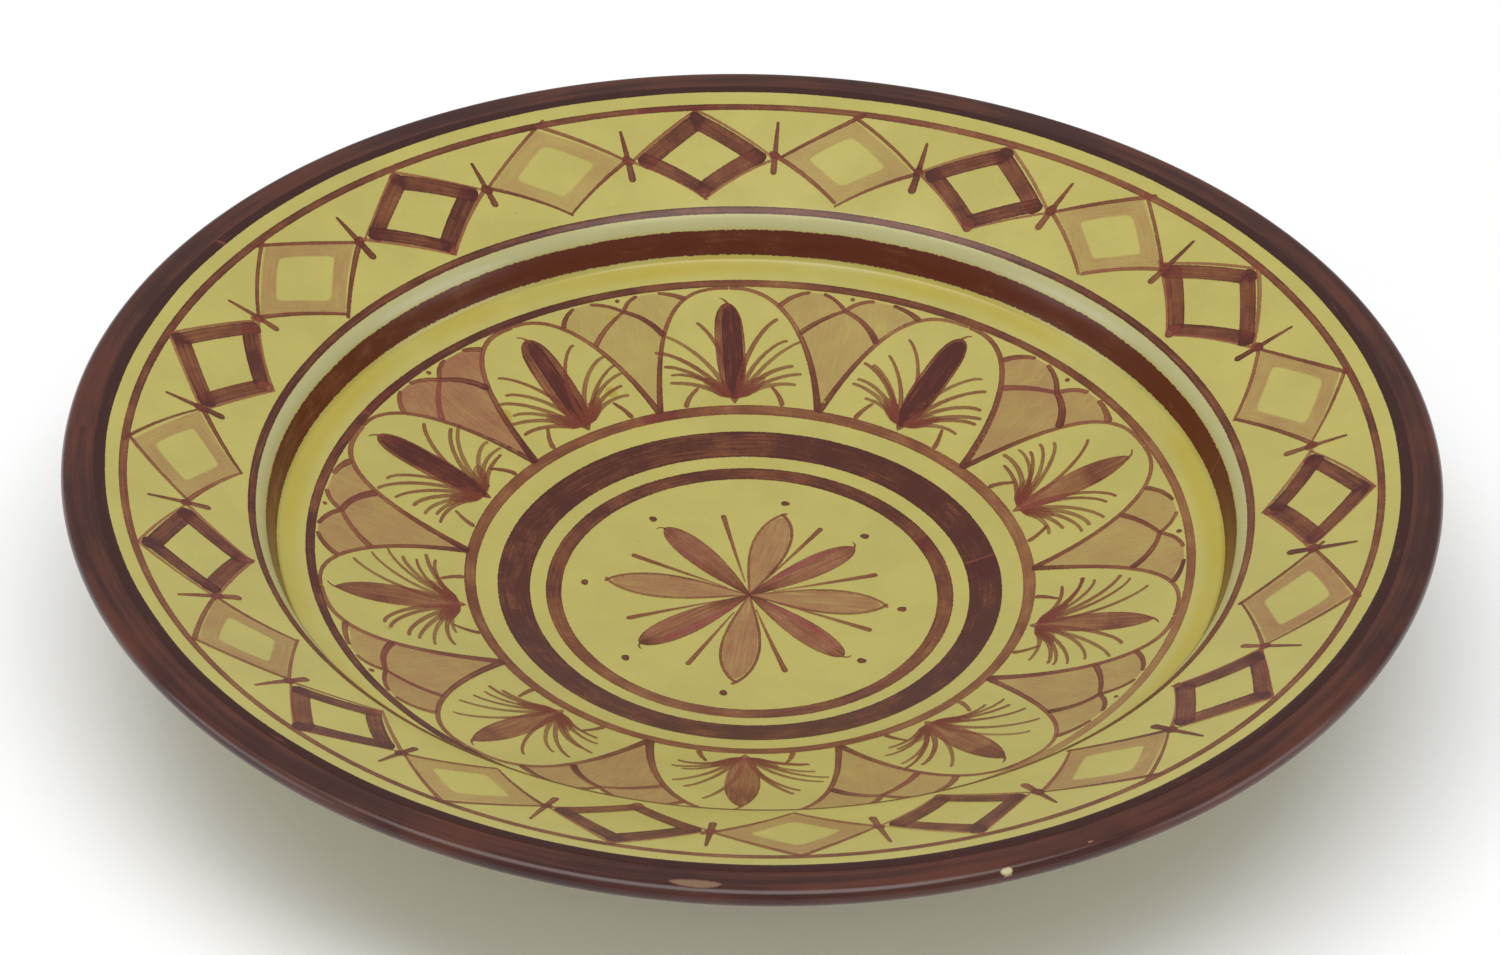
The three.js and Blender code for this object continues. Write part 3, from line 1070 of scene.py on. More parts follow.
class PLATE_OT_body(PlateOperator, bpy.types.Operator):
    """Lay smooth glaze over the turned clay, face, lip, back and base, and turn the foot"""

    bl_idname = "plate.body"
    bl_label = "Glazed body"

    def execute(self, context):
        form = context.scene.plate_form
        colours = context.scene.plate_glaze
        face = face_line(form)
        back = back_line(form)
        yellow = yellow_glaze(colours, form)
        brown = lip_glaze(colours)
        clay = bare_clay(colours)
        glazed_yellow = face[:, 0] <= form.rim_band + NOTHING
        lip_back = outer_radius("back_glaze")
        foot_outer = outer_radius("foot_ring")
        foot_inner = outer_radius("base_glaze")
        join = self.on(back, lip_back)
        heel = self.on(back, foot_outer - GLAZE_UNDER_FOOT["outside"])
        base_edge = self.on(back, foot_inner + GLAZE_UNDER_FOOT["inside"])
        lip_face = face[~glazed_yellow | (face[:, 0] == form.rim_band)]
        lip_under = back[back[:, 0] > lip_back][1:]
        under = back[(back[:, 0] <= lip_back) & (back[:, 0] > foot_outer)]
        base = back[back[:, 0] < foot_inner]
        for name, line, material, slot, node in (
            ("glazed_face", [face[glazed_yellow]], yellow, "yellow_glaze", "face_glaze"),
            ("glazed_lip", [lip_face, lip_under, join], brown, "rim_glaze", "rim_glaze"),
            ("glazed_back", [join, under, heel], yellow, "yellow_glaze", "back_glaze"),
            ("glazed_base", [base_edge, base], yellow, "yellow_glaze", "base_glaze"),
            ("foot", [self.foot_line(form)], clay, "clay", "foot_ring"),
        ):
            mesh = revolved(name, np.concatenate(line), SEGMENTS[name], form)
            finish_piece(name, mesh, material, (node,))
        clay_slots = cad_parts["clay_body"].data.materials
        clay_slots.clear()
        clay_slots.append(clay)
        return {"FINISHED"}

    def on(self, line, radius):
        """The one point of the back's line at a radius, as a line of its own."""
        backwards = line[::-1]
        return np.array([[radius, np.interp(radius, backwards[:, 0], backwards[:, 1])]])

    def foot_line(self, form):
        """The foot ring in section: a straight outer side, a small round, a flat tread, a small round and an
        inner side."""
        low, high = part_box("foot_ring")
        outer = high.x
        inner = outer_radius("base_glaze")
        bevel_z = low.z + FOOT_BEVEL
        side_z = bevel_z + FOOT_BEVEL
        lean = FOOT_TAPER * 0.6
        return np.array(
            [
                (outer, floor_height(form, outer) - form.clay + FOOT_SINK),
                (outer - lean, side_z),
                *arc((outer - FOOT_TAPER - FOOT_BEVEL, bevel_z), FOOT_BEVEL, 0, -90, BEVEL_POINTS),
                *arc((inner + FOOT_TAPER + FOOT_BEVEL, bevel_z), FOOT_BEVEL, -90, -180, BEVEL_POINTS),
                (inner + lean, side_z),
                (inner, floor_height(form, inner) - form.clay + FOOT_SINK),
            ]
        )


class PLATE_OT_bands(PlateOperator, bpy.types.Operator):
    """Turn the seven brown lines and bands onto the face"""

    bl_idname = "plate.bands"
    bl_label = "Bands"

    OVERLAP = 0.15
    OVERLAP_RISE = 1.5 * Strokes.LAYER
    FADE = 1.2 * MM
    DRIFT_START = 0.8
    LIP_EDGE = (-0.3 * MM, 1.8 * MM)
    LIP_EDGE_LOAD = 1.8
    LIP_EDGE_DRIFT = 0.05
    LIP_EDGE_WAVER = 0.16 * MM

    def execute(self, context):
        form = context.scene.plate_form
        bands = context.scene.plate_bands
        colours = context.scene.plate_glaze
        rng = np.random.default_rng(bands.seed)
        line = pigment("band_line_pigment", colours)
        broad = pigment("band_pigment", colours, ragged=0.30)
        wall = pigment("wall_pigment", colours, thick=colours.wall, ragged=0.30)
        for node, width, load, drift, material, slot in (
            ("outer_line", bands.outer_line, 0.90, 0.16, line, "brown_line"),
            ("shoulder_line", bands.shoulder_line, 1.10, 0.12, line, "brown_line"),
            ("wall_band", bands.wall_band, 1.40, 0.10, wall, "brown_band"),
            ("well_line", bands.well_line, 0.95, 0.25, line, "brown_line"),
            ("medallion_line", bands.medallion_line, 0.76, 0.10, line, "brown_line"),
            ("medallion_band", bands.medallion_band, 1.42, 0.07, broad, "brown_band"),
            ("inner_ring", bands.inner_ring, 1.00, 0.12, broad, "brown_band"),
        ):
            strokes = Strokes(form)
            outer = outer_radius(node)
            self.ring(strokes, rng, outer - width, outer, load, drift)
            strokes.build(node + "_stroke", material, slot, (node,))
        edge = Strokes(form)
        inner, outer = (form.rim_band + step for step in self.LIP_EDGE)
        self.ring(edge, rng, inner, outer, self.LIP_EDGE_LOAD, self.LIP_EDGE_DRIFT, self.LIP_EDGE_WAVER)
        edge.build("lip_edge_stroke", pigment("lip_edge_pigment", colours, thick=colours.lip), "rim_glaze")
        return {"FINISHED"}

    def ring(self, strokes, rng, inner, outer, load, drift, waver=0.05 * MM, count=720, columns=7):
        """A band laid by one turn of the wheel and a little more: its two edges waver by a sum of a few
        waves, its load drifts slowly, and both its ends fade."""
        begin = rng.uniform(0, 2 * np.pi)
        turn = begin + np.linspace(0, 2 * np.pi + self.OVERLAP, count)
        inner_edge = inner + waves(rng, turn, waver)
        outer_edge = outer + waves(rng, turn, waver)
        side = np.linspace(0, 1, columns)
        radius = inner_edge[:, None] * (1 - side) + outer_edge[:, None] * side
        plan = np.stack([radius * np.cos(turn)[:, None], radius * np.sin(turn)[:, None]], axis=-1)
        run = (turn - turn[0])[:, None] * (inner + outer) / 2
        along = np.broadcast_to(run / MM, radius.shape)
        across = (radius - (inner + outer) / 2) / MM
        edge = np.minimum(radius - inner_edge[:, None], outer_edge[:, None] - radius) / MM
        ends = np.clip(np.minimum(run, run[-1] - run) / self.FADE, 0, 1) ** 0.5
        slow = 1 + drift * (np.cos(turn - begin - self.DRIFT_START) + waves(rng, turn, 1.0))[:, None]
        rise = self.OVERLAP_RISE * run / run[-1]
        strokes.add_grid(plan, along, across, edge, np.broadcast_to(load * slow * ends, radius.shape), rise)


class PLATE_OT_lattice(PlateOperator, bpy.types.Operator):
    """Paint the chain of dark and pale diamonds round the flange"""

    bl_idname = "plate.lattice"
    bl_label = "Lattice"

    # How near the side corners come to where the chain is joined, and how far a corner strays, in
    # millimetres, with the share of that at the side corners.
    SIDE_REACH = 0.96
    CORNER_STRAY = 0.5
    SIDE_STRAY = 0.4
    # The load of the pigment pooled where two bars meet, and how far in from the corner it lies.
    POOL_LOAD = 0.45
    OUTER_POOL = 1.5
    INNER_POOL = 0.8
    POOL_IN = 0.14
    # Fine outlines: their load and their overshoot in millimetres, beside bars and round a wash.
    BAR_OUTLINE = {"load": 0.5, "overshoot": 1.8}
    WASH_OUTLINE = {"load": 0.75, "overshoot": 2.8}
    BAR_OUTLINE_SHARE = 0.85
    # How much of a pale diamond the wash takes up, and how far it reaches towards the outlines.
    WASH_DEPTH = 0.545
    WASH_REACH = 0.98
    # A tick's top and foot as radii in millimetres, the radius that it bends through, and its start.
    TICK_TOP = (109.2, 110.8)
    TICK_FOOT = (97.9, 98.8)
    TICK_MIDDLE = (0.1 * MM, 104 * MM)
    TICK_START = 0.6 * MM

    def execute(self, context):
        form = context.scene.plate_form
        lattice = context.scene.plate_lattice
        colours = context.scene.plate_glaze
        rng = np.random.default_rng(lattice.seed)
        step = 2 * np.pi / lattice.pairs
        drift = np.radians(np.resize(LATTICE_DRIFT, lattice.pairs))
        dark_turns = lattice.start - step * np.arange(lattice.pairs) + drift
        after = np.append(dark_turns[1:], dark_turns[0] - 2 * np.pi)
        pale_turns = (dark_turns + after) / 2
        middle = lattice.middle
        washes, dark, thin, ticks = (Strokes(form) for _ in range(4))
        loads = np.resize(PALE_LOADS, lattice.pairs)
        for dark_turn, pale_turn, next_turn, load in zip(dark_turns, pale_turns, after, loads):
            reach = (dark_turn - pale_turn) / 2 * middle
            self.dark_diamond(Spot(dark_turn, middle), lattice, reach, rng, dark, thin)
            self.pale_diamond(Spot(pale_turn, middle), lattice, reach, load, rng, washes, thin)
            self.tick(Spot((dark_turn + pale_turn) / 2, middle), rng, ticks)
            self.tick(Spot((pale_turn + next_turn) / 2, middle), rng, ticks)
        wash_pigment = pigment("diamond_wash_pigment", colours, thin=colours.dust, soft=0.5)
        washes.build("pale_diamond_washes", wash_pigment, "brown_line")
        dark.build("dark_diamonds", pigment("diamond_pigment", colours), "brown_band")
        thin.build("diamond_outlines", pigment("outline_pigment", colours), "brown_line")
        ticks.build("lattice_ticks", pigment("tick_pigment", colours), "brown_line")
        return {"FINISHED"}

    def corners(self, lattice, reach, rng):
        """The outer, right, inner and left corners, each a little astray."""
        middle = lattice.middle
        side = reach * self.SIDE_REACH
        places = [(0, lattice.outer), (side, middle), (0, lattice.inner), (-side, middle)]
        astray = stray(rng, self.CORNER_STRAY, (4, 2))
        astray[1::2, 0] *= self.SIDE_STRAY
        return np.array(places) + astray

    def sides(self, corners):
        """The four sides, each from the outer or inner corner to a side corner, as a brush is pulled."""
        return [(corners[a], corners[b]) for a, b in ((0, 3), (0, 1), (3, 2), (1, 2))]

    def dark_diamond(self, spot, lattice, reach, rng, dark, thin):
        """Four broad strokes inside four fine outlines, with pigment pooled where the broad ones meet."""
        corners = self.corners(lattice, reach, rng)
        centre = corners.mean(axis=0)
        for start, end in self.sides(corners):
            width = lattice.bar * rng.uniform(0.9, 1.12)
            inset = inwards(start, end, centre)
            shift = inset * width * 0.5
            pull = heading(start, end)
            bow = inset * drawn(rng, -0.3, 0.5)
            first = start + shift - pull * 0.2 * MM + pull * width * 0.35
            last = end + shift + pull * 0.3 * MM - pull * width * 0.25
            path = spot.curve([first, (first + last) / 2 + bow, last], 20)
            load = rng.uniform(0.95, 1.25) + self.POOL_LOAD * end_pools(len(path))
            brush(dark, path, width, width * rng.uniform(0.85, 1.0), load, blunt=0.5, columns=9)
            fine = lattice.outline * self.BAR_OUTLINE_SHARE
            self.thin_side(spot, start, end, centre, rng, thin, fine, **self.BAR_OUTLINE)
        for corner, load in ((corners[0], self.OUTER_POOL), (corners[2], self.INNER_POOL)):
            place = corner + (centre - corner) * self.POOL_IN
            blob(dark, spot, place, drawn(rng, 2.5, 3.2), load, rng)

    def pale_diamond(self, spot, lattice, reach, load, rng, washes, thin):
        """Four fine outlines round a wash that leaves the middle bare."""
        corners = self.corners(lattice, reach, rng)
        centre = corners.mean(axis=0)
        outer_ring = centre + (corners - centre) * self.WASH_REACH
        inner_ring = centre + (corners - centre) * (1 - lattice.wash / (reach * self.WASH_DEPTH))
        frame_wash(washes, spot, outer_ring, inner_ring, load)
        for start, end in self.sides(corners):
            self.thin_side(spot, start, end, centre, rng, thin, lattice.outline, **self.WASH_OUTLINE)

    def thin_side(self, spot, start, end, centre, rng, thin, width, load, overshoot):
        """One fine outline, that starts before its corner, bows a little and ends near the next one."""
        pull = heading(start, end)
        outwards = -inwards(start, end, centre)
        first = start - pull * rng.uniform(0.2, overshoot) * MM + outwards * drawn(rng, 0.0, 0.6)
        last = end + pull * drawn(rng, -0.3, 0.9) + outwards * stray(rng, 0.2)
        bow = outwards * drawn(rng, -0.9, 0.5)
        path = spot.curve([first, (first + last) / 2 + bow, last], 18)
        start_width = width * rng.uniform(0.8, 1.3)
        brush(thin, path, start_width, width * rng.uniform(0.5, 1.0), load * rng.uniform(0.8, 1.15))

    def tick(self, spot, rng, ticks):
        """A short radial stroke over the place where two diamonds meet, and a blob where the lines cross."""
        lean = stray(rng, 0.5)
        top = (lean, drawn(rng, *self.TICK_TOP))
        foot = (-lean * 0.4, drawn(rng, *self.TICK_FOOT))
        path = spot.curve([top, self.TICK_MIDDLE, foot], 20)
        brush(ticks, path, self.TICK_START, drawn(rng, 1.4, 1.8), rng.uniform(0.75, 1.05), power=0.8)
        blob(ticks, spot, np.array([0.0, spot.bend_radius]), drawn(rng, 1.9, 2.6), 0.95, rng)


class PLATE_OT_arches(PlateOperator, bpy.types.Operator):
    """Paint the ten arches round the floor, each with its leaf and its two fans of hairs"""

    bl_idname = "plate.arches"
    bl_label = "Arches"

    # Radii that the leaf and the hairs stand on, and where a stub crosses the medallion's line.
    LEAF_FOOT = 54.0 * MM
    HAIR_FOOT = 54.2 * MM
    STUB = (56.6 * MM, 54 * MM, 51.9 * MM)
    # The profiles of a leaf: a pale one, a dark one, and the dark one's second stroke. Each has its fullest
    # place and the powers of its two ends.
    PALE = {"fullest": 0.58, "base": (1.9, 0.7), "tip": (2.1, 0.7)}
    DARK = {"fullest": 0.55, "base": (2.6, 0.8), "tip": (3.4, 0.5)}
    SECOND = {"fullest": 0.5, "base": (3.4, 0.6), "tip": (4.0, 0.5)}
    WEDGE = {"fullest": 0.5, "base": (2.0, 0.8), "tip": (2.0, 0.8)}
    WEDGE_CURVE = ((0.5 * MM, HAIR_FOOT), (3.2 * MM, 57.0 * MM), (6.2 * MM, 58.8 * MM))
    WEDGE_LOAD = 0.30
    WEDGE_WIDTH = 3.0 * MM
    # A hair's root is this broad. From the first hair of a fan to the last, its slant in degrees and its
    # reach in millimetres go from one value by a step.
    HAIR_ROOT = 1.7 * MM
    SLANT = (22, 54)
    REACH = (19.5, -10.5)
    FEWER_HAIRS = 0.4

    def execute(self, context):
        form = context.scene.plate_form
        arches = context.scene.plate_arches
        colours = context.scene.plate_glaze
        rng = np.random.default_rng(arches.seed)
        lines, leaves, hairs = (Strokes(form) for _ in range(3))
        for number, (turn, dark) in enumerate(zip(arch_turns(), DARK_LEAVES)):
            for half in arch_halves(arches, number):
                thick = arches.outline * rng.uniform(0.9, 1.2)
                load = rng.uniform(0.58, 0.78) + 0.45 * np.linspace(1, 0, len(half)) ** 4
                brush(lines, half, thick * 1.7, thick * 0.85, load, power=0.5)
            spot = Spot(math.radians(turn), None)
            self.hair_fans(spot, arches, rng, hairs)
            self.leaf(spot, arches, dark, rng, leaves)
        lines.build("arch_lines", pigment("arch_pigment", colours), "brown_line")
        hairs.build("palmette_hairs", pigment("hair_pigment", colours, thin=colours.pigment), "brown_line")
        leaves.build("palmette_leaves", pigment("leaf_pigment", colours, streak=0.28), "brown_band")
        return {"FINISHED"}

    def leaf(self, spot, arches, dark, rng, leaves):
        """A leaf standing on the medallion's line: one broad stroke, darker in its upper part, that ends in a
        small hook. A dark one is blunt, and has a denser second stroke along it."""
        base = self.LEAF_FOOT
        tip = base + arches.leaf_length * rng.uniform(0.97, 1.04)
        lean = stray(rng, 0.8)
        width = arches.leaf_width * rng.uniform(0.98, 1.10)
        share = np.linspace(0, 1, 40)
        body = spot.curve([(0, base - 1 * MM), (lean * 0.5, (base + tip) / 2), (lean, tip)], 40)
        upper = np.clip((share - rng.uniform(0.55, 0.75)) * 14, 0, 1)
        way = rng.choice([-1, 1])
        if dark:
            leaf(leaves, body, width * 1.10, 0.78 + 0.2 * upper, **self.DARK)
            side = drawn(rng, 0.0, 0.5)
            middle = (base + tip) / 2
            over = spot.curve([(0, base), (side, middle), (side + lean, tip - 0.6 * MM)], 40)
            leaf(leaves, over, width * dark, 0.8 + 0.75 * dark, **self.SECOND)
        else:
            leaf(leaves, body, width * 1.08, 0.60 + 0.26 * upper, **self.PALE)
        hook = [
            (lean - way * 0.5 * MM, tip - 1 * MM),
            (lean, tip + 0.8 * MM),
            (lean + way * 1.4 * MM, tip + 1.2 * MM),
        ]
        brush(leaves, spot.curve(hook, 12), 0.8 * MM, 0.3 * MM, 0.7)

    def hair_fans(self, spot, arches, rng, hairs):
        """Two fans of hairs from the leaf's base. Each hair starts broad, so that a fan's hairs run into one
        patch at their root, then bends outwards and thins, and some end in a hook."""
        for way in (-1, 1):
            count = arches.hairs - int(rng.random() < self.FEWER_HAIRS)
            for share in np.linspace(0, 1, count):
                slant = self.SLANT[0] + self.SLANT[1] * share**0.85 + rng.uniform(-4.5, 4.5)
                slant = math.radians(slant)
                reach = (self.REACH[0] + self.REACH[1] * share + rng.uniform(-2.0, 1.6)) * MM
                bend = math.radians(rng.uniform(14, 28))
                root = np.array([way * (0.6 + 1.2 * share) * MM, self.HAIR_FOOT + 0.6 * share * MM])
                early = slant - bend
                middle = root + reach * 0.6 * np.array([way * math.sin(early), math.cos(early)])
                tip = root + reach * np.array([way * math.sin(slant), math.cos(slant)])
                hook = tip + np.array([way * rng.uniform(0.3, 1.6), rng.uniform(-1.2, 0.1)]) * MM
                path = spot.curve([root, middle, tip, hook], 26)
                thick = drawn(rng, 0.58, 0.85)
                brush(hairs, path, self.HAIR_ROOT, thick, rng.uniform(0.38, 0.62), power=0.42)
            wedge = [(way * x, y) for x, y in self.WEDGE_CURVE]
            leaf(hairs, spot.curve(wedge, 24), self.WEDGE_WIDTH, self.WEDGE_LOAD, **self.WEDGE)
            foot = way * drawn(rng, 8.0, 9.6)
            high = way * drawn(rng, 6.6, 7.8)
            stub = spot.curve(list(zip((high, foot, foot), self.STUB)), 14)
            brush(hairs, stub, 0.7 * MM, 1.2 * MM, rng.uniform(0.6, 0.8))


class PLATE_OT_spandrels(PlateOperator, bpy.types.Operator):
    """Paint the kites and cells between the arches, with their washes"""

    bl_idname = "plate.spandrels"
    bl_label = "Spandrels"

    # Radii of the kite's side corners, of the cells' tops on the arches and of the drop's foot. The curves
    # cross at the apex, and end on the well's line at distances to the left and right of it.
    CORNERS = (70.0 * MM, 70.2 * MM)
    TOPS = (75.6 * MM, 77.6 * MM)
    APEX = (75.4, 76.6)
    INNER_ENDS = (-6.2 * MM, 4.8 * MM)
    OUTER_ENDS = (-8.6 * MM, 8.6 * MM)
    DROP_FOOT = 78.6 * MM
    WELL_SHARE = 0.998

    def execute(self, context):
        form = context.scene.plate_form
        arches = context.scene.plate_arches
        colours = context.scene.plate_glaze
        rng = np.random.default_rng(arches.seed + 1)
        washes, lines = Strokes(form), Strokes(form)
        turns = arch_turns()
        for number, load in zip(range(len(turns)), SPANDREL_LOADS):
            left = arch_halves(arches, number)[1]
            right = arch_halves(arches, (number + 1) % len(turns))[0]
            self.spandrel(left, right, arches, load, rng, washes, lines)
        wash_pigment = pigment("spandrel_wash_pigment", colours, thin=colours.dust, soft=0.6)
        washes.build("spandrel_washes", wash_pigment, "brown_line")
        lines.build("spandrel_lines", pigment("spandrel_pigment", colours), "brown_line")
        return {"FINISHED"}

    def spandrel(self, left, right, arches, load, rng, washes, lines):
        """Two crossing curves divide the space between two arches, left and right here as seen from the
        middle of the plate: a kite on the arches' shared foot, a cell on either side of it and a small bare
        one on top."""
        foot = (left[0] + right[0]) / 2
        spot = Spot(math.atan2(foot[1], foot[0]), None)
        well = arches.crown * self.WELL_SHARE
        left_corner = at_radius(left, self.CORNERS[0] + stray(rng, 0.8))
        right_corner = at_radius(right, self.CORNERS[1] + stray(rng, 0.8))
        left_top = at_radius(left, self.TOPS[0])
        right_top = at_radius(right, self.TOPS[1])
        apex = spot.place((stray(rng, 0.8), drawn(rng, *self.APEX)))
        left_well = spot.place_round(self.INNER_ENDS[0] + stray(rng, 0.8), well)
        far_left = spot.place_round(self.OUTER_ENDS[0] + stray(rng, 0.5), well)
        right_well = spot.place_round(self.INNER_ENDS[1] + stray(rng, 0.8), well)
        far_right = spot.place_round(self.OUTER_ENDS[1] + stray(rng, 0.5), well)
        upper_left = bowed(left_corner, apex, 0.06)
        upper_right = bowed(right_corner, apex, -0.10)
        falling = bowed(left_well, apex, 0.08)
        rising = bowed(apex, right_well, 0.12)
        kite_left = [between(left, foot, left_corner), upper_left]
        kite_right = [between(right, foot, right_corner), upper_right]
        left_rim = [between(left, left_corner, left_top), bowed(left_top, far_left, 0.1)]
        right_rim = [between(right, right_corner, right_top), bowed(right_top, far_right, 0.05)]
        patch(washes, np.concatenate(kite_left), np.concatenate(kite_right), load)
        for rim, curves in ((left_rim, [upper_left, falling[::-1]]), (right_rim, [upper_right, rising])):
            patch(washes, np.concatenate(rim), np.concatenate(curves), load * rng.uniform(0.9, 1.05))
        thick = arches.outline * rng.uniform(1.0, 1.3)
        whole = np.concatenate([falling[:-1], upper_right[::-1]])
        pooled = rng.uniform(0.68, 0.85) + 0.45 * np.linspace(0, 1, len(whole)) ** 3
        brush(lines, whole, thick * 0.8, thick * 1.5, pooled, power=1.6)
        for curve, start, end, loads in (
            (upper_left[::-1], 0.8, 1.25, (0.65, 0.85)),
            (rising, 1, 0.8, (0.65, 0.85)),
            (bowed(far_left, left_top, -0.1), 0.75, 1.2, (0.65, 0.85)),
            (bowed(far_right, right_top, 0.05), 0.8, 1.3, (0.7, 0.9)),
        ):
            brush(lines, curve, thick * start, thick * end, rng.uniform(*loads))
        drop = spot.curve([(stray(rng, 1), well), (0, self.DROP_FOOT)], 10)
        brush(lines, drop, 0.8 * MM, 1.4 * MM, 0.8)


class PLATE_OT_flower(PlateOperator, bpy.types.Operator):
    """Paint the eight petals, the rays and the dots in the medallion"""

    bl_idname = "plate.flower"
    bl_label = "Flower"

    # The profiles of a dark petal, of the stroke along its left side, and of a pale petal.
    DARK = {"fullest": 0.62, "base": (1.5, 0.9), "tip": (2.6, 0.55)}
    SIDE = {"fullest": 0.5, "base": (2, 0.7), "tip": (2, 0.7)}
    PALE = {"fullest": 0.62, "base": (1.6, 0.85), "tip": (2.0, 0.65)}
    PALE_START = 0.8 * MM
    PALE_LOAD = 0.33
    SIDE_LOAD = 0.25
    DOT_LOAD = 1.05
    RAY_LOADS = (0.40, 0.80)

    def execute(self, context):
        form = context.scene.plate_form
        flower = context.scene.plate_flower
        colours = context.scene.plate_glaze
        rng = np.random.default_rng(flower.seed)
        petals, rays, dots = (Strokes(form) for _ in range(3))
        for number, turn in enumerate(PETAL_TURNS):
            spot = Spot(math.radians(turn), None)
            self.ray(Spot(math.radians(RAY_TURNS[number]), None), flower, rng, rays)
            if number % 2:
                self.dark_petal(spot, flower, rng, petals)
            else:
                self.pale_petal(spot, flower, rng, petals, rays)
            dot_turn = math.radians(turn + rng.uniform(-4, 4))
            centre = np.array([0.0, flower.dot_radius + drawn(rng, -1.2, 1.6)])
            blob(dots, Spot(dot_turn, None), centre, flower.dot * rng.uniform(0.9, 1.1), self.DOT_LOAD, rng)
        petal_pigment = pigment("petal_pigment", colours, thin=colours.dust, streak=0.32)
        petals.build("flower_petals", petal_pigment, "brown_line")
        rays.build("flower_rays", pigment("ray_pigment", colours), "brown_line")
        dots.build("flower_dots", pigment("dot_pigment", colours), "brown_line")
        return {"FINISHED"}

    def dark_petal(self, spot, flower, rng, petals):
        """A loaded stroke pulled from the middle, with a second along its left side and a pool at its tip."""
        tip = flower.petal_length * rng.uniform(0.96, 1.0)
        lean = stray(rng, 0.6)
        path = spot.curve([(0, -0.6 * MM), (lean, tip / 2), (lean * 0.5, tip)], 40)
        share = np.linspace(0, 1, 40)
        load = 0.60 + 0.30 * np.clip((share - 0.86) * 12, 0, 1) + 1.1 * (1 - share) ** 6
        width = flower.petal_width * rng.uniform(0.92, 1.04)
        leaf(petals, path, width, load, **self.DARK)
        left = -flower.petal_width * 0.32
        over = spot.curve([(0, 2.0 * MM), (left * 1.5, tip * 0.5), (left * 0.5, tip * 0.93)], 30)
        leaf(petals, over, flower.petal_width * 0.25, self.SIDE_LOAD, **self.SIDE)
        hook = [(0, tip - 0.4 * MM), (-0.2 * MM, tip + 0.9 * MM), (-1.5 * MM, tip + 0.7 * MM)]
        brush(petals, spot.curve(hook, 12), 0.6 * MM, 0.25 * MM, 0.7)

    def pale_petal(self, spot, flower, rng, petals, rays):
        """A thin wash inside two fine outlines that cross at the tip."""
        tip = flower.petal_length * rng.uniform(0.98, 1.03)
        start = self.PALE_START
        half = flower.petal_width * 0.5 * rng.uniform(0.95, 1.05)
        path = spot.curve([(0, start), (0, tip / 2), (0, tip - 0.6 * MM)], 36)
        leaf(petals, path, 2 * half, self.PALE_LOAD, **self.PALE)
        for way in (-1, 1):
            side = [
                (0, start - 1 * MM),
                (way * half * 0.7, tip * 0.32),
                (way * half * 2.0, tip * 0.66),
                (way * half * 0.75, tip * 0.97),
                (-way * 0.6 * MM, tip + drawn(rng, 0.2, 1.5)),
            ]
            brush(rays, spot.curve(side, 36), 0.5 * MM, 0.75 * MM, rng.uniform(0.55, 0.75))

    def ray(self, spot, flower, rng, rays):
        """A fine stroke that swells outwards and ends in a blunt, loaded tip."""
        end = flower.ray_end + stray(rng, 0.6)
        start = flower.ray_start * rng.uniform(0.7, 1.2)
        lean = stray(rng, 0.3)
        path = spot.curve([(0, start), (lean, (start + end) / 2), (0, end)], 30)
        load = np.linspace(*self.RAY_LOADS, len(path))
        brush(rays, path, 0.4 * MM, drawn(rng, 1.1, 1.35), load, power=1.2)


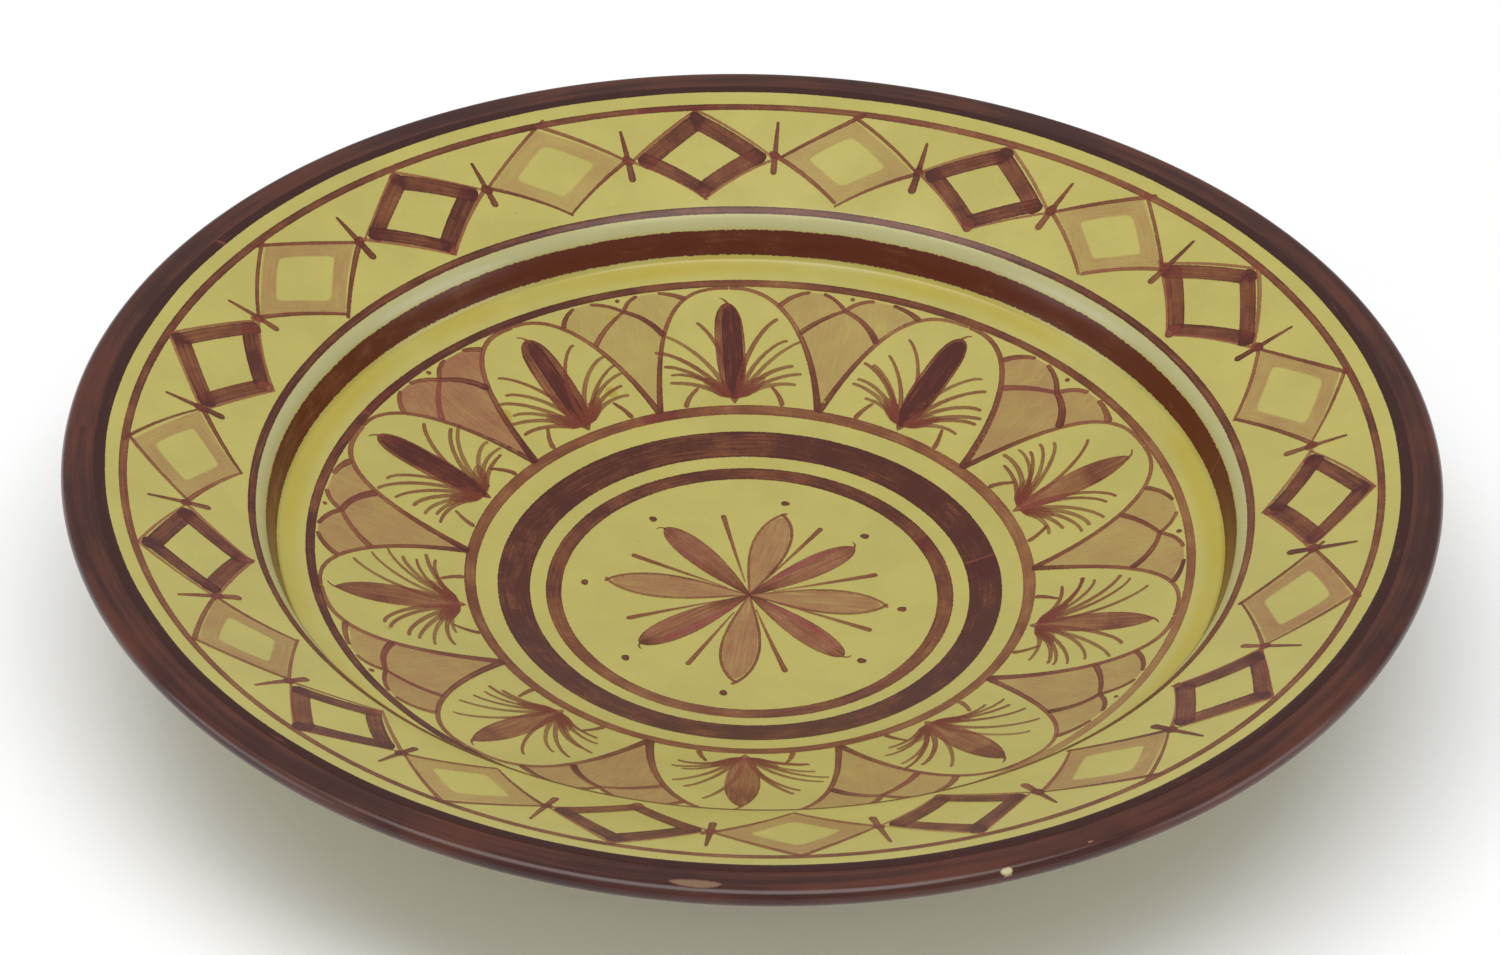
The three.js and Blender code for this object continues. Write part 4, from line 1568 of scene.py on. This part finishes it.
class PLATE_OT_wear(PlateOperator, bpy.types.Operator):
    """Chip and wear the lip, and drop a few runs of lemon glaze on the floor"""

    bl_idname = "plate.wear"
    bl_label = "Wear"

    ENDS = {"base": (2, 0.5), "tip": (2, 0.5)}

    def execute(self, context):
        form = context.scene.plate_form
        colours = context.scene.plate_glaze
        rng = np.random.default_rng(WEAR_SEED)
        chips, lemons = Strokes(form), Strokes(form)
        for turn, radius, reach, width, freshness in LIP_CHIPS:
            spot = Spot(math.radians(turn), radius * MM)
            half = reach * MM / 2
            path = spot.curve([(-half, radius * MM), (0, (radius + 0.2) * MM), (half, radius * MM)], 24)
            fullest = rng.uniform(0.4, 0.6)
            leaf(chips, path, width * MM, freshness, fullest, **self.ENDS)
        for turn, radius, reach in LEMON_SPOTS:
            spot = Spot(math.radians(turn), None)
            blob(lemons, spot, np.array([0.0, radius * MM]), reach * MM, LEMON_LOAD, rng)
        chips.build("lip_chips", chipped_glaze(colours), "yellow_glaze")
        lemons.build("lemon_runs", lemon_glaze(colours), "yellow_glaze")
        return {"FINISHED"}


# ---------------------------------------------------------------- panel and registration


STEPS = (PLATE_OT_stage, PLATE_OT_body, PLATE_OT_bands, PLATE_OT_lattice, PLATE_OT_arches)
STEPS += (PLATE_OT_spandrels, PLATE_OT_flower, PLATE_OT_wear)


class PLATE_PT_panel(bpy.types.Panel):
    """The plate's sizes and colours, and its steps in their order"""

    bl_idname = "PLATE_PT_panel"
    bl_label = "Hand painted plate"
    bl_space_type = "VIEW_3D"
    bl_region_type = "UI"
    bl_category = "Plate"

    def draw(self, context):
        for step in STEPS:
            self.layout.operator(step.bl_idname)
        for key, group in SETTINGS.items():
            box = self.layout.box()
            for name in group.__annotations__:
                box.prop(getattr(context.scene, key), name)


CLASSES = (*SETTINGS.values(), *STEPS, PLATE_PT_panel)


def register():
    for cls in CLASSES:
        bpy.utils.register_class(cls)
    for key, group in SETTINGS.items():
        setattr(bpy.types.Scene, key, PointerProperty(type=group))


def unregister():
    for key in SETTINGS:
        delattr(bpy.types.Scene, key)
    for cls in reversed(CLASSES):
        bpy.utils.unregister_class(cls)


def main():
    """Registers the add-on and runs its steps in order."""
    register()
    for step in STEPS:
        group, name = step.bl_idname.split(".")
        getattr(getattr(bpy.ops, group), name)()


if __name__ == "__main__":
    main()
